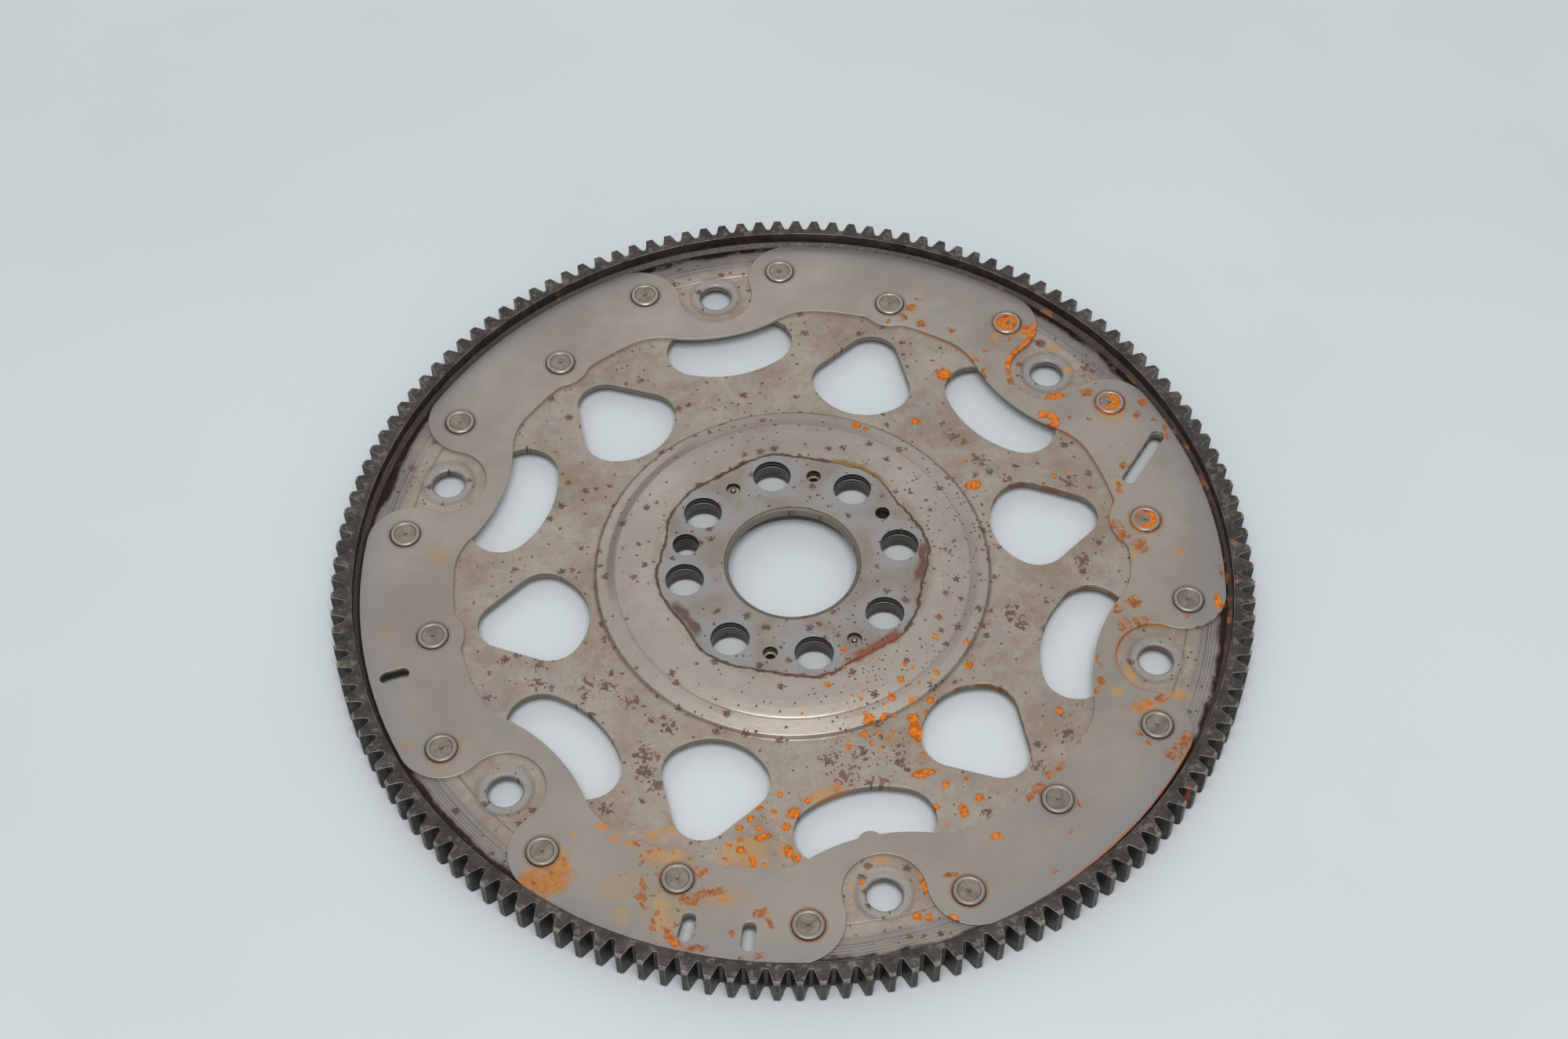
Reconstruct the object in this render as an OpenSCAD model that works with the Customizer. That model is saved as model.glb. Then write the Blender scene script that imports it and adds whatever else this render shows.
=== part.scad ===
// Flexplate for an automatic gearbox, in millimetres.
// A stamped drive disc carries a starter ring gear, a riveted cover ring and a hub spacer.
// The axis is Z, the part rests on the ring gear, and +Z faces the torque converter.
// One converter hole lies on +Y.

/* [Ring gear] */
// Number of starter teeth
gear_teeth = 139; // [126:1:160]
// Full depth of a tooth
gear_tooth_depth = 4.657; // [4:0.001:5.4]
// Pressure angle of the teeth
gear_pressure_angle = 20; // [17:0.5:25]
// Height of the ring gear
gear_h = 12; // [10:0.5:16]
// Radial wall left under the tooth roots
gear_rim_wall = 2.138; // [1.6:0.001:3]
// Bevel on the ends of the teeth
gear_bevel = 0.8; // [0.4:0.1:2.2]
// Turn of the nearest tooth from +Y, in degrees
gear_turn = -0.6; // [-1.2:0.1:1.2]
// Width of the weld fillet that joins the disc to the ring
weld_w = 1.7; // [0.8:0.1:2.4]
// Height of the weld fillet above the disc
weld_h = 1.3; // [0.5:0.1:3]
// Clearance from the toe of the weld fillet to the cover ring
weld_gap = 0.25; // [0.1:0.05:0.6]

/* [Drive disc] */
// Sheet thickness
disc_t = 3; // [2:0.1:3.6]
// Height of the underside above the foot of the ring gear
disc_z = 3.2; // [2:0.1:4.5]
// Rise of the hub above the rim
hub_rise = 3.7; // [3:0.1:4.6]
// Flat of the hub face beyond the spacer
hub_margin = 4; // [2:0.1:5.6]
// Width of the dished shoulder round the hub
dish_w = 15.8; // [14:0.2:17]
// Width over which the shoulder bends from flat into its slope, to the middle of the bend
dish_bend_w = 4.6; // [3:0.1:6]
// Height of the short step at the foot of the shoulder
step_h = 1.2; // [0.8:0.1:1.6]
// Width of the short step
step_w = 1; // [0.8:0.1:1.8]
// Radius of the bends of the short step
bend_r = 0.8; // [0.4:0.1:1]
// Distance from the short step in to the fine groove in the shoulder
dish_groove_in = 5.5; // [4:0.1:6.5]
// Width of the fine groove in the shoulder
dish_groove_w = 0.9; // [0.5:0.1:1.4]
// Depth of the fine groove in the shoulder
dish_groove_depth = 0.1; // [0.05:0.05:0.4]
// Distance from the converter circle out to the fine groove in the rim
groove_out = 7.9; // [7:0.1:9]
// Width of the fine groove in the rim
groove_w = 0.7; // [0.4:0.1:1.2]
// Depth of the fine groove in the rim
groove_depth = 0.25; // [0.1:0.05:0.5]

/* [Crankshaft side] */
// Diameter of the pilot bore
pilot_d = 42; // [38:0.2:46]
// Diameter of the circle through the crankshaft holes
crank_circle_d = 71.2; // [68:0.2:75]
// Diameter of the crankshaft holes
crank_hole_d = 12.5; // [10.5:0.1:13.5]
// Turn of the crankshaft pattern from the converter pattern, in degrees
crank_turn = -2; // [-6:0.5:6]
// Diameter of the dowel hole
dowel_d = 8.6; // [6:0.1:9.5]
// Diameter of the small holes between the crankshaft holes
small_hole_d = 4.8; // [4:0.1:5.5]
// Diameter of the stepped lower end of two small holes
small_step_d = 3.2; // [2:0.1:3.8]

/* [Hub spacer] */
// Wall of the spacer outside the crankshaft holes
spacer_wall = 2.15; // [1:0.05:3.2]
// Thickness of the spacer
spacer_t = 5.6; // [3:0.1:6.4]
// Step from the pilot bore out to the bore of the spacer
spacer_bore_step = 2.5; // [1:0.1:4]
// Depth of the spacer rivet heads below the hub face
spacer_rivet_sink = 1.2; // [0.6:0.1:2]
// Diameter of the small nipple on each spacer rivet
spacer_nipple_d = 1.9; // [1:0.1:2.2]

/* [Converter side] */
// Diameter of the circle through the converter holes
converter_circle_d = 241.2; // [232:0.2:270]
// Diameter of the converter holes
converter_hole_d = 11; // [9:0.1:13]
// Diameter of the coined pad round each converter hole
pad_d = 18.4; // [17:0.2:22]
// Width of the pad's sloping edge
pad_edge_w = 1.3; // [0.6:0.1:1.8]
// Depth of the coined pad
pad_depth = 0.2; // [0.1:0.1:0.8]
// Chamfer on the holes
hole_chamfer = 0.5; // [0.1:0.1:0.8]

/* [Kidney slots] */
// Distance from a converter hole to the middle line of its slot
kidney_r = 26; // [24:0.2:28]
// Width of the slot
kidney_w = 21.6; // [18:0.2:24]
// Half the angle that the slot spans
kidney_half_angle = 26; // [18:1:30]

/* [Windows] */
// Distance from the converter circle in to the inner edge
window_edge_in = 53.1; // [48:0.1:54]
// Rise of the arched inner edge
window_arch_rise = 3.15; // [2.4:0.05:4]
// Radius of the inner corners
window_foot_r = 10.45; // [8:0.05:12]
// Half the distance between the middles of the inner corners
window_foot_x = 6.8; // [5:0.1:8]
// Distance from the middles of the inner corners out to the middle of the outer corner
window_rise = 13.4; // [11:0.1:15]
// Radius of the outer corner
window_tip_r = 9.25; // [7:0.05:10.2]

/* [Cover ring] */
// Sheet thickness
cover_t = 1.1; // [0.6:0.1:2]
// Distance from the converter circle out to the edge rivets
edge_rivet_out = 7.7; // [6.8:0.1:8.6]
// Half the angle between the two rivets beside a converter hole
edge_rivet_spread = 11; // [10.6:0.1:11.8]
// Distance from the converter circle out to the rim of the cover ring
cover_rim_out = 19.88; // [18.8:0.02:21]
// Radius of the round lobe on each side of a converter hole
lobe_r = 14.5; // [13:0.1:16]
// Half the angle between the middles of the two lobes beside a converter hole
lobe_spread = 12.5; // [12:0.1:13.2]
// Distance from the converter circle in to the mid rivets
mid_rivet_in = 2.5; // [1.6:0.1:3.6]
// Turn of the one mid rivet that makes room for the long slot, in degrees
odd_rivet_turn = -4; // [-4.4:0.1:0]
// Distance from the converter circle in to the inner edge between the lobes
cover_inner_in = 10.2; // [9:0.1:11.2]
// Distance from the converter circle in to the inward swell below each converter hole
swell_in = 19.2; // [17:0.1:21]
// Radius of the inward swell
swell_r = 57.7; // [52:0.5:63]
// Radius that blends the swell into the inner edge
swell_blend_r = 21; // [16:0.5:24]
// Radius of the small swell about each mid rivet
bump_r = 10; // [9:0.1:11]
// Radius of the small swell about the turned mid rivet
odd_bump_r = 11.8; // [10:0.1:12.8]
// Radius that blends the small swell into the inner edge
bump_blend_r = 6; // [4:0.5:7]
// Radius of the locating tab
tab_r = 3.9; // [2.5:0.1:5]
// Reach of the locating tab beyond the inward swell
tab_out = 1.7; // [0.8:0.1:2.4]

/* [Balance slots] */
// Width of the short slots
short_slot_w = 4.3; // [3:0.1:5]
// Length of the short slots
short_slot_len = 9.6; // [7:0.1:12]
// Distance from the cover ring's rim in to the short slots
short_slot_in = 3.2; // [2:0.1:5]
// Angle of the lone short slot from +X
lone_slot_angle = 185.2; // [183:0.1:188]
// Angle of the middle of the pair of short slots from +X
pair_slot_angle = 247.3; // [246:0.1:248]
// Half the angle between the pair of short slots
pair_slot_spread = 4; // [3:0.1:4.4]
// Width of the long slot
long_slot_w = 4.7; // [3:0.1:5.4]
// Distance from the cover ring's rim in to the middle of the long slot's outer end
long_slot_in = 5.8; // [4.5:0.1:7]
// Angle of the long slot's outer end from +X
long_slot_angle = 10.3; // [9.4:0.1:10.8]
// Radial distance between the middles of the long slot's ends
long_slot_fall = 16.3; // [14:0.1:18]
// Turn from the long slot's inner end to its outer end, in degrees
long_slot_turn = 5.7; // [5:0.1:6.2]

/* [Rivets] */
// Shank diameter
rivet_d = 6; // [4:0.1:7]
// Diameter of the head at its foot
rivet_head_d = 10.2; // [9.6:0.1:11.6]
// Inward slope of the head's rim, from its foot to its flat
rivet_head_slope = 0.6; // [0.2:0.1:0.7]
// Height of the head
rivet_head_h = 0.75; // [0.4:0.05:1.4]
// Diameter of the floor of the dimple in the head
rivet_dimple_d = 7; // [4:0.1:7.6]
// Depth of the dimple
rivet_dimple_depth = 0.35; // [0.1:0.05:0.4]
// Diameter of the punch mark in the middle of the dimple
rivet_mark_d = 1.3; // [0.8:0.1:2]
// Depth of the punch mark
rivet_mark_depth = 0.3; // [0.1:0.05:0.5]
// Diameter of the formed tail
rivet_tail_d = 9.6; // [8.4:0.1:11]
// Height of the formed tail
rivet_tail_h = 1.2; // [0.6:0.1:1.8]
// Radial clearance of a shank in its hole
rivet_fit = 0.05; // [0.02:0.01:0.2]

/* [Hidden] */
$fn = 180;

// Patterns, as angles from +X
sectors = 6;
crank_holes = 8;
hole_angles = [for (k = [0:sectors - 1]) 90 + 360 / sectors * k];
lobe_angles = [for (k = [0:sectors - 1]) 360 / sectors * k];
mid_rivet_angles = [for (a = lobe_angles) a == 0 ? odd_rivet_turn : a];
crank_step = 360 / crank_holes;
crank_angles = [for (k = [0:crank_holes - 1]) 90 + crank_turn + crank_step * k];
spacer_rivet_gaps = [0, 4];
dowel_gap = 1;
stepped_gaps = [3, 7];
blind_gap = 6;
short_slot_angles = [
    lone_slot_angle,
    pair_slot_angle - pair_slot_spread,
    pair_slot_angle + pair_slot_spread
];
tab_angle = hole_angles[3];

// Heights
disc_top = disc_z + disc_t;
hub_top = disc_top + hub_rise;
hub_under = hub_top - disc_t;
spacer_z = hub_under - spacer_t;
cover_top = disc_top + cover_t;
over = 1;
// Small overlap where one curve runs on into the next
seam = 0.02;

// Places on the hub, from the crankshaft holes outwards
crank_r = crank_circle_d / 2;
spacer_r = crank_r + crank_hole_d / 2 + spacer_wall;
spacer_bore_r = pilot_d / 2 + spacer_bore_step;
hub_flat_r = spacer_r + hub_margin;
dish_knee_r = hub_flat_r + dish_bend_w;
step_top_r = hub_flat_r + dish_w;
step_foot_r = step_top_r + step_w;
step_top = disc_top + step_h;
dish_slope = atan((hub_top - step_top) / (step_top_r - dish_knee_r));
dish_bend_r = dish_bend_w / tan(dish_slope / 2);
dish_groove_r = step_top_r - dish_groove_in;
dish_groove_top = step_top + dish_groove_in * tan(dish_slope);

// Places on the rim, from the converter circle outwards
converter_r = converter_circle_d / 2;
hole_at = [0, converter_r];
edge_rivet_r = converter_r + edge_rivet_out;
cover_r = converter_r + cover_rim_out;
weld_toe_r = cover_r + weld_gap;
gear_bore_r = weld_toe_r + weld_w;
groove_r = converter_r + groove_out;
lobe_at = (cover_r + seam - lobe_r) * [sin(lobe_spread), cos(lobe_spread)];
bay_r = norm(lobe_at - hole_at) - lobe_r + seam;
beyond_lobe = lobe_at * (cover_r + lobe_r) / norm(lobe_at);
short_slot_r1 = cover_r - short_slot_in - short_slot_w / 2;
short_slot_r0 = short_slot_r1 - short_slot_len + short_slot_w;
long_slot_r1 = cover_r - long_slot_in;
long_slot_r0 = long_slot_r1 - long_slot_fall;

// Places inside the converter circle
mid_rivet_r = converter_r - mid_rivet_in;
bump_at = [0, mid_rivet_r];
cover_inner_r = converter_r - cover_inner_in;
swell_y = converter_r - swell_in;
swell_at = [0, swell_y + swell_r];
tab_y = swell_y - tab_out + tab_r;
window_edge_y = converter_r - window_edge_in;
window_foot_y = window_edge_y + window_arch_rise + window_foot_r;
window_tip_y = window_foot_y + window_rise;

// Gear sizes from the bore outwards
root_fillet_share = 0.45;
root_r = gear_bore_r + gear_rim_wall;
tip_r = root_r + gear_tooth_depth;
gear_module = 2 * tip_r / (gear_teeth + 2);
pitch_r = gear_module * gear_teeth / 2;
base_r = pitch_r * cos(gear_pressure_angle);
form_r = root_r + root_fillet_share * gear_module;

function polar(r, a) = r * [cos(a), sin(a)];
function flipped(p) = [-p[0], p[1]];
function unit(v) = v / norm(v);
function gap_angle(k) = 90 + crank_turn + crank_step * (k + 0.5);

// Half the angle that a tooth spans at a radius, from the involute of the base circle
function involute_angle(a) = tan(a) * 180 / PI - a;
function tooth_half_angle(r) =
    90 / gear_teeth + involute_angle(gear_pressure_angle) - involute_angle(acos(min(1, base_r / r)));

// One tooth: root, flank and tip, then down the other flank
root_half_angle = (tooth_half_angle(form_r) + 180 / gear_teeth) / 2;
tooth_profile = [[root_r, root_half_angle], for (r = [form_r, pitch_r, tip_r]) [r, tooth_half_angle(r)]];
tooth_points = [
    for (p = tooth_profile) [p[0], -p[1]],
    for (k = [len(tooth_profile) - 1:-1:0]) tooth_profile[k]
];

// Points of an arc of radius r that rounds the corner b of the path a, b, c
bend_steps = 4;
function rounded(a, b, c, r) =
    let (u = unit(a - b), w = unit(c - b), half = acos(u * w) / 2)
    let (mid = b + unit(u + w) * r / sin(half))
    let (from = b + u * r / tan(half) - mid, to = b + w * r / tan(half) - mid)
    [for (k = [0:bend_steps]) mid + r * unit(from + (to - from) * k / bend_steps)];

// Upper line of the disc's section, from the pilot bore to the ring gear
disc_line = [
    [pilot_d / 2, hub_top],
    [dish_knee_r, hub_top],
    [step_top_r, step_top],
    [step_foot_r, disc_top],
    [gear_bore_r, disc_top]
];
disc_bends = [
    for (k = [1:3])
        rounded(disc_line[k - 1], disc_line[k], disc_line[k + 1], k == 1 ? dish_bend_r : bend_r)
];
disc_under = [disc_line[0], each disc_bends[0], each disc_bends[1], each disc_bends[2], disc_line[4]];
function groove(r, top, slope, w, depth) =
    [for (k = [-1:1]) [r, top] + w / 2 * k * [1, -tan(slope)] - [0, depth * (1 - abs(k))]];
disc_section = [
    disc_line[0],
    each disc_bends[0],
    each groove(dish_groove_r, dish_groove_top, dish_slope, dish_groove_w, dish_groove_depth),
    each disc_bends[1],
    each disc_bends[2],
    each groove(groove_r, disc_top, 0, groove_w, groove_depth),
    disc_line[4],
    for (k = [len(disc_under) - 1:-1:0]) disc_under[k] - [0, disc_t]
];

// Middle of a circle of radius r that lies inside circle r0 about the origin, touches it,
// and touches circle r1 about p from outside
function blend_middle(r, r0, p, r1) =
    let (far = norm(p), near = r0 - r, reach = r1 + r)
    let (along = (near * near - reach * reach + far * far) / (2 * far))
    let (n = unit(p), aside = sqrt(near * near - along * along))
    n * along + [n[1], -n[0]] * aside;

module at_each(angles, r = 0) {
    for (a = angles) rotate(a - 90) translate([0, r]) children();
}

module ring_of(angles, r, z, h, d) {
    for (a = angles) rotate(a - 90) translate([0, r, z]) cylinder(h = h, d = d);
}

// Cone that chamfers the upper edge of a hole
module top_chamfer(d, z) {
    translate([0, 0, z - hole_chamfer])
        cylinder(h = hole_chamfer + over, d1 = d, d2 = d + 2 * (hole_chamfer + over));
}

// Slot with round ends between two points
module slot_between(p, q, w) {
    run = q - p;
    translate(p) circle(d = w);
    translate(q) circle(d = w);
    translate(p) rotate(atan2(run[1], run[0])) translate([0, seam - w / 2])
        square([norm(run), w - 2 * seam]);
}

module balance_slots() {
    for (a = short_slot_angles)
        slot_between(polar(short_slot_r0, a), polar(short_slot_r1, a), short_slot_w);
    inner_end = polar(long_slot_r0, long_slot_angle - long_slot_turn);
    slot_between(inner_end, polar(long_slot_r1, long_slot_angle), long_slot_w);
}

// Curved slot about a converter hole, on its inner side
module kidney() {
    outer = kidney_r + kidney_w / 2;
    inner = kidney_r - kidney_w / 2;
    end = kidney_r * [sin(kidney_half_angle), -cos(kidney_half_angle)];
    reach = 2 * outer / kidney_r;
    translate(hole_at) {
        intersection() {
            difference() {
                circle(r = outer - seam);
                circle(r = inner + seam);
            }
            polygon([[0, 0], reach * end, reach * flipped(end)]);
        }
        translate(end) circle(d = kidney_w);
        translate(flipped(end)) circle(d = kidney_w);
    }
}

// Rounded three-cornered window with one corner outwards and an arched inner edge
module window() {
    tip = [0, window_tip_y];
    foot = [window_foot_x, window_foot_y];
    depth = window_arch_rise + window_foot_r;
    foot_span = window_foot_x * window_foot_x + depth * depth;
    arch_r = (foot_span - window_foot_r * window_foot_r) / (2 * window_arch_rise) - 10 * seam;
    arch = [0, window_edge_y + arch_r];
    side = foot - tip;
    lean = atan2(side[1], side[0]) + asin((window_foot_r - window_tip_r) / norm(side));
    out = [-sin(lean), cos(lean)];
    tip_touch = tip + (window_tip_r - seam) * out;
    foot_touch = foot + (window_foot_r - seam) * out;
    sweep = arch + (foot - arch) * 2 * arch_r / norm(foot - arch);
    translate(tip) circle(r = window_tip_r);
    for (p = [foot, flipped(foot)]) translate(p) circle(r = window_foot_r);
    polygon([tip_touch, foot_touch, foot, flipped(foot), flipped(foot_touch), flipped(tip_touch), tip]);
    intersection() {
        translate(arch) circle(r = arch_r);
        polygon([arch, sweep, flipped(sweep)]);
    }
}

// Open bay in the rim of the cover ring about a converter hole
module bay() {
    translate(hole_at) circle(r = bay_r);
    difference() {
        polygon([hole_at, lobe_at, beyond_lobe, flipped(beyond_lobe), flipped(lobe_at)]);
        for (p = [lobe_at, flipped(lobe_at)]) translate(p) circle(r = lobe_r);
    }
}

// Swell of the cover ring's inner edge about p, blended on both sides into the edge
module inner_swell(p, r, blend_r) {
    translate(p) circle(r = r);
    mid = blend_middle(blend_r, cover_inner_r, p, r);
    edge_touch = cover_inner_r * unit(mid);
    swell_touch = p + r * unit(mid - p);
    corner = (cover_inner_r + over) * unit(edge_touch + swell_touch);
    for (side = [0, 1]) mirror([side, 0]) difference() {
        polygon([edge_touch, corner, p, swell_touch]);
        translate(mid) circle(r = blend_r + seam);
    }
}

// The opening inside the cover ring
module cover_opening() {
    difference() {
        circle(r = cover_inner_r);
        at_each(hole_angles) inner_swell(swell_at, swell_r, swell_blend_r);
        for (a = mid_rivet_angles) rotate(a - 90)
            inner_swell(bump_at, a == odd_rivet_turn ? odd_bump_r : bump_r, bump_blend_r);
        rotate(tab_angle - 90) translate([0, tab_y]) circle(r = tab_r);
    }
}

module rivet_places() {
    at_each([for (a = hole_angles, s = [-1, 1]) a + s * edge_rivet_spread], edge_rivet_r) children();
    at_each(mid_rivet_angles, mid_rivet_r) children();
}

module gear_outline() {
    tooth_step = 360 / gear_teeth;
    polygon([
        for (k = [0:gear_teeth - 1], p = tooth_points)
            polar(p[0], 90 + gear_turn + tooth_step * k + p[1])
    ]);
}

module ring_gear() {
    color("#3b3531") intersection() {
        linear_extrude(gear_h) gear_outline();
        rotate_extrude() polygon([
            [gear_bore_r, 0],
            [tip_r - gear_bevel, 0],
            [tip_r, gear_bevel],
            [tip_r, gear_h - gear_bevel],
            [tip_r - gear_bevel, gear_h],
            [gear_bore_r, gear_h],
            [gear_bore_r, disc_top + weld_h],
            [weld_toe_r, disc_top],
            [gear_bore_r, disc_top]
        ]);
    }
}

// Shallow coined pad with a sloping edge
module pad() {
    rise = pad_depth + over;
    floor_d = pad_d - 2 * pad_edge_w;
    translate([0, 0, disc_top - pad_depth])
        cylinder(h = rise, d1 = floor_d, d2 = floor_d + 2 * pad_edge_w * rise / pad_depth);
}

module drive_disc() {
    color("#8f857b") difference() {
        rotate_extrude() polygon(disc_section);
        top_chamfer(pilot_d, hub_top);
        translate([0, 0, hub_under - over]) {
            ring_of(crank_angles, crank_r, 0, disc_t + 2 * over, crank_hole_d);
            ring_of([gap_angle(dowel_gap)], crank_r, 0, disc_t + 2 * over, dowel_d);
            small_gaps = concat(spacer_rivet_gaps, stepped_gaps, [blind_gap]);
            ring_of([for (k = small_gaps) gap_angle(k)], crank_r, 0, disc_t + 2 * over, small_hole_d);
        }
        translate([0, 0, disc_z - over]) linear_extrude(hub_top - disc_z + 2 * over) {
            at_each(hole_angles) kidney();
            at_each(lobe_angles) window();
            balance_slots();
            rivet_places() circle(d = rivet_d + 2 * rivet_fit);
        }
        ring_of(hole_angles, converter_r, disc_z - over, disc_t + 2 * over, converter_hole_d);
        at_each(hole_angles, converter_r) {
            pad();
            top_chamfer(converter_hole_d, disc_top - pad_depth);
        }
    }
}

module cover_ring() {
    color("#938b81") translate([0, 0, disc_top]) linear_extrude(cover_t) difference() {
        circle(r = cover_r);
        cover_opening();
        at_each(hole_angles) bay();
        balance_slots();
        rivet_places() circle(d = rivet_d + 2 * rivet_fit);
    }
}

// Section of one rivet, turned about its own axis
module cover_rivet() {
    rotate_extrude() polygon([
        [0, disc_z - rivet_tail_h],
        [rivet_tail_d / 2 - rivet_tail_h / 2, disc_z - rivet_tail_h],
        [rivet_tail_d / 2, disc_z - rivet_tail_h / 2],
        [rivet_tail_d / 2, disc_z],
        [rivet_d / 2, disc_z],
        [rivet_d / 2, cover_top],
        [rivet_head_d / 2, cover_top],
        [rivet_head_d / 2 - rivet_head_slope / 4, cover_top + rivet_head_h / 2],
        [rivet_head_d / 2 - rivet_head_slope, cover_top + rivet_head_h],
        [rivet_dimple_d / 2 + rivet_dimple_depth, cover_top + rivet_head_h],
        [rivet_dimple_d / 2, cover_top + rivet_head_h - rivet_dimple_depth],
        [rivet_mark_d / 2, cover_top + rivet_head_h - rivet_dimple_depth],
        [rivet_mark_d / 4, cover_top + rivet_head_h - rivet_dimple_depth - rivet_mark_depth],
        [0, cover_top + rivet_head_h - rivet_dimple_depth - rivet_mark_depth]
    ]);
}

module cover_rivets() {
    color("#8b827a") rivet_places() cover_rivet();
}

module hub_spacer() {
    through = spacer_t + 2 * over;
    color("#7a746c") difference() {
        translate([0, 0, spacer_z]) cylinder(h = spacer_t, r = spacer_r);
        translate([0, 0, spacer_z - over]) {
            cylinder(h = through, r = spacer_bore_r);
            ring_of(crank_angles, crank_r, 0, through, crank_hole_d);
            ring_of([gap_angle(dowel_gap)], crank_r, 0, through, dowel_d);
            ring_of([for (k = stepped_gaps) gap_angle(k)], crank_r, 0, through, small_step_d);
            ring_of([for (k = spacer_rivet_gaps) gap_angle(k)], crank_r, 0, through, small_hole_d);
        }
        at_each(crank_angles, crank_r) top_chamfer(crank_hole_d, hub_under);
    }
}

// Small rivets that hold the spacer to the hub, sunk below the hub face
module spacer_rivets() {
    shank_r = small_hole_d / 2 - rivet_fit;
    shank_top = hub_top - spacer_rivet_sink;
    color("#a89c90") at_each([for (k = spacer_rivet_gaps) gap_angle(k)], crank_r) {
        translate([0, 0, spacer_z]) cylinder(h = shank_top - spacer_z, r = shank_r);
        translate([0, 0, shank_top]) intersection() {
            cylinder(h = spacer_nipple_d, d = spacer_nipple_d);
            sphere(d = spacer_nipple_d);
        }
    }
}

ring_gear();
drive_disc();
cover_ring();
cover_rivets();
hub_spacer();
spacer_rivets();
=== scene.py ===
# %% [markdown]
# # A used flexplate
# A flexplate is the stamped steel disc that joins an engine's crankshaft to the torque converter of an
# automatic gearbox. The starter motor turns the engine by the teeth of the ring gear round its rim.
# The shapes come packed from the solid model. This lesson gives them the finish of a part that has been
# in service: scaled gear teeth, rolled sheet, rust specks and fresh orange rust.

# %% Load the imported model
import math

import bpy
from mathutils import Matrix, Vector

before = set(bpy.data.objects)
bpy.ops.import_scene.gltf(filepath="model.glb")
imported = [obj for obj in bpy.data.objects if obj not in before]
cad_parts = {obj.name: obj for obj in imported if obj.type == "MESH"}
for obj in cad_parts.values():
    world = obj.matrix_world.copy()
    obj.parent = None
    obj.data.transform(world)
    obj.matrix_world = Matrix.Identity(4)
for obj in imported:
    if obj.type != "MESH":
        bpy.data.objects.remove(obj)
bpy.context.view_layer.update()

print("nodes:", sorted(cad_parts))

# %% [markdown]
# ## Lengths and colours
# Blender counts in metres, but a workshop thinks of such a part in millimetres, so lengths are written that way.
# Colours are written the way a paint program shows them and are turned into linear light here, because light
# adds up in linear values only.

# %% Helpers for lengths and colours
MM = 0.001


def colour(red, green, blue):
    """Linear colour with alpha from screen values between 0 and 255."""
    screen = [v / 255 for v in (red, green, blue)]
    return (*[v / 12.92 if v < 0.04045 else ((v + 0.055) / 1.055) ** 2.4 for v in screen], 1.0)


print("screen grey 128 is", round(colour(128, 128, 128)[0], 3), "in linear light")

# %% [markdown]
# ## Adding nodes
# A shader is a tree of many small nodes, so one function adds a node and fills its sockets. A socket given as
# another node's output is linked, and any other value is set on the socket itself.

# %% Helpers that add nodes
def fill(tree, socket, value):
    """Links a socket to another node's output, or sets its own value."""
    if isinstance(value, bpy.types.NodeSocket):
        tree.links.new(value, socket)
    else:
        socket.default_value = value


def add(tree, kind, sockets=None, **settings):
    """Adds one node to a tree, sets its properties and fills its sockets."""
    made = tree.nodes.new(kind)
    for key, value in settings.items():
        setattr(made, key, value)
    for key, value in (sockets or {}).items():
        fill(tree, made.inputs[key], value)
    return made


print("ready to add nodes with", add.__name__)

# %% [markdown]
# ## Sums and shapes
# Nearly every mask comes from a few sums. A ramp turns a distance into a soft edge, a band is two ramps back to
# back, and a line is a narrow band. Each helper adds its nodes and hands back the socket that holds the answer.

# %% Helpers for sums and shapes
def calc(tree, operation, a, b=0.0, c=0.0):
    """One Math node, as its output socket."""
    return add(tree, "ShaderNodeMath", {0: a, 1: b, 2: c}, operation=operation).outputs[0]


def times(tree, *factors):
    """The product of several values."""
    total = factors[0]
    for factor in factors[1:]:
        total = calc(tree, "MULTIPLY", total, factor)
    return total


def vector(tree, operation, a, b=(0.0, 0.0, 0.0)):
    """One Vector Math node, as its outputs. To scale, b is the factor."""
    second = "Scale" if operation == "SCALE" else 1
    return add(tree, "ShaderNodeVectorMath", {0: a, second: b}, operation=operation).outputs


def ramp(tree, value, low, high, to_low=0.0, to_high=1.0):
    """A smooth step from to_low to to_high while value goes from low to high."""
    sockets = {"Value": value, 1: low, 2: high, 3: to_low, 4: to_high}
    return add(tree, "ShaderNodeMapRange", sockets, interpolation_type="SMOOTHSTEP").outputs[0]


def band(tree, value, rise, full, fade, gone):
    """One between full and fade, nought outside rise and gone, all four in millimetres."""
    return times(tree, ramp(tree, value, rise * MM, full * MM), ramp(tree, value, gone * MM, fade * MM))


def line(tree, value, at, half, strength=1.0):
    """A soft line where value passes a length, with half its width, both in millimetres."""
    away = calc(tree, "ABSOLUTE", calc(tree, "SUBTRACT", value, at * MM))
    return ramp(tree, away, half * MM, 0.3 * half * MM, 0.0, strength)


print("ready to draw with", ramp.__name__, band.__name__, line.__name__)

# %% [markdown]
# ## Layers and noise
# A finish is painted in layers: blend lays a second colour over the first by a mask. Noise is what keeps a layer
# from looking drawn.

# %% Helpers for layers and noise
def blend(tree, share, first, second):
    """Mixes two colours, second on top by the share."""
    made = add(tree, "ShaderNodeMix", {0: share, 6: first, 7: second}, data_type="RGBA")
    return made.outputs[2]


def noise(tree, place, scale, detail=2.0, rough=0.5):
    """Noise between about 0 and 1, scale in waves per metre."""
    sockets = {"Vector": place, "Scale": scale, "Detail": detail, "Roughness": rough}
    return add(tree, "ShaderNodeTexNoise", sockets).outputs


print("ready to paint with", blend.__name__, "and", noise.__name__)

# %% [markdown]
# ## Groups and materials
# An effect that several materials share is a node group with named sockets. It is built once, and each
# material uses it with its own values. The shader itself stays in the material.

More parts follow.
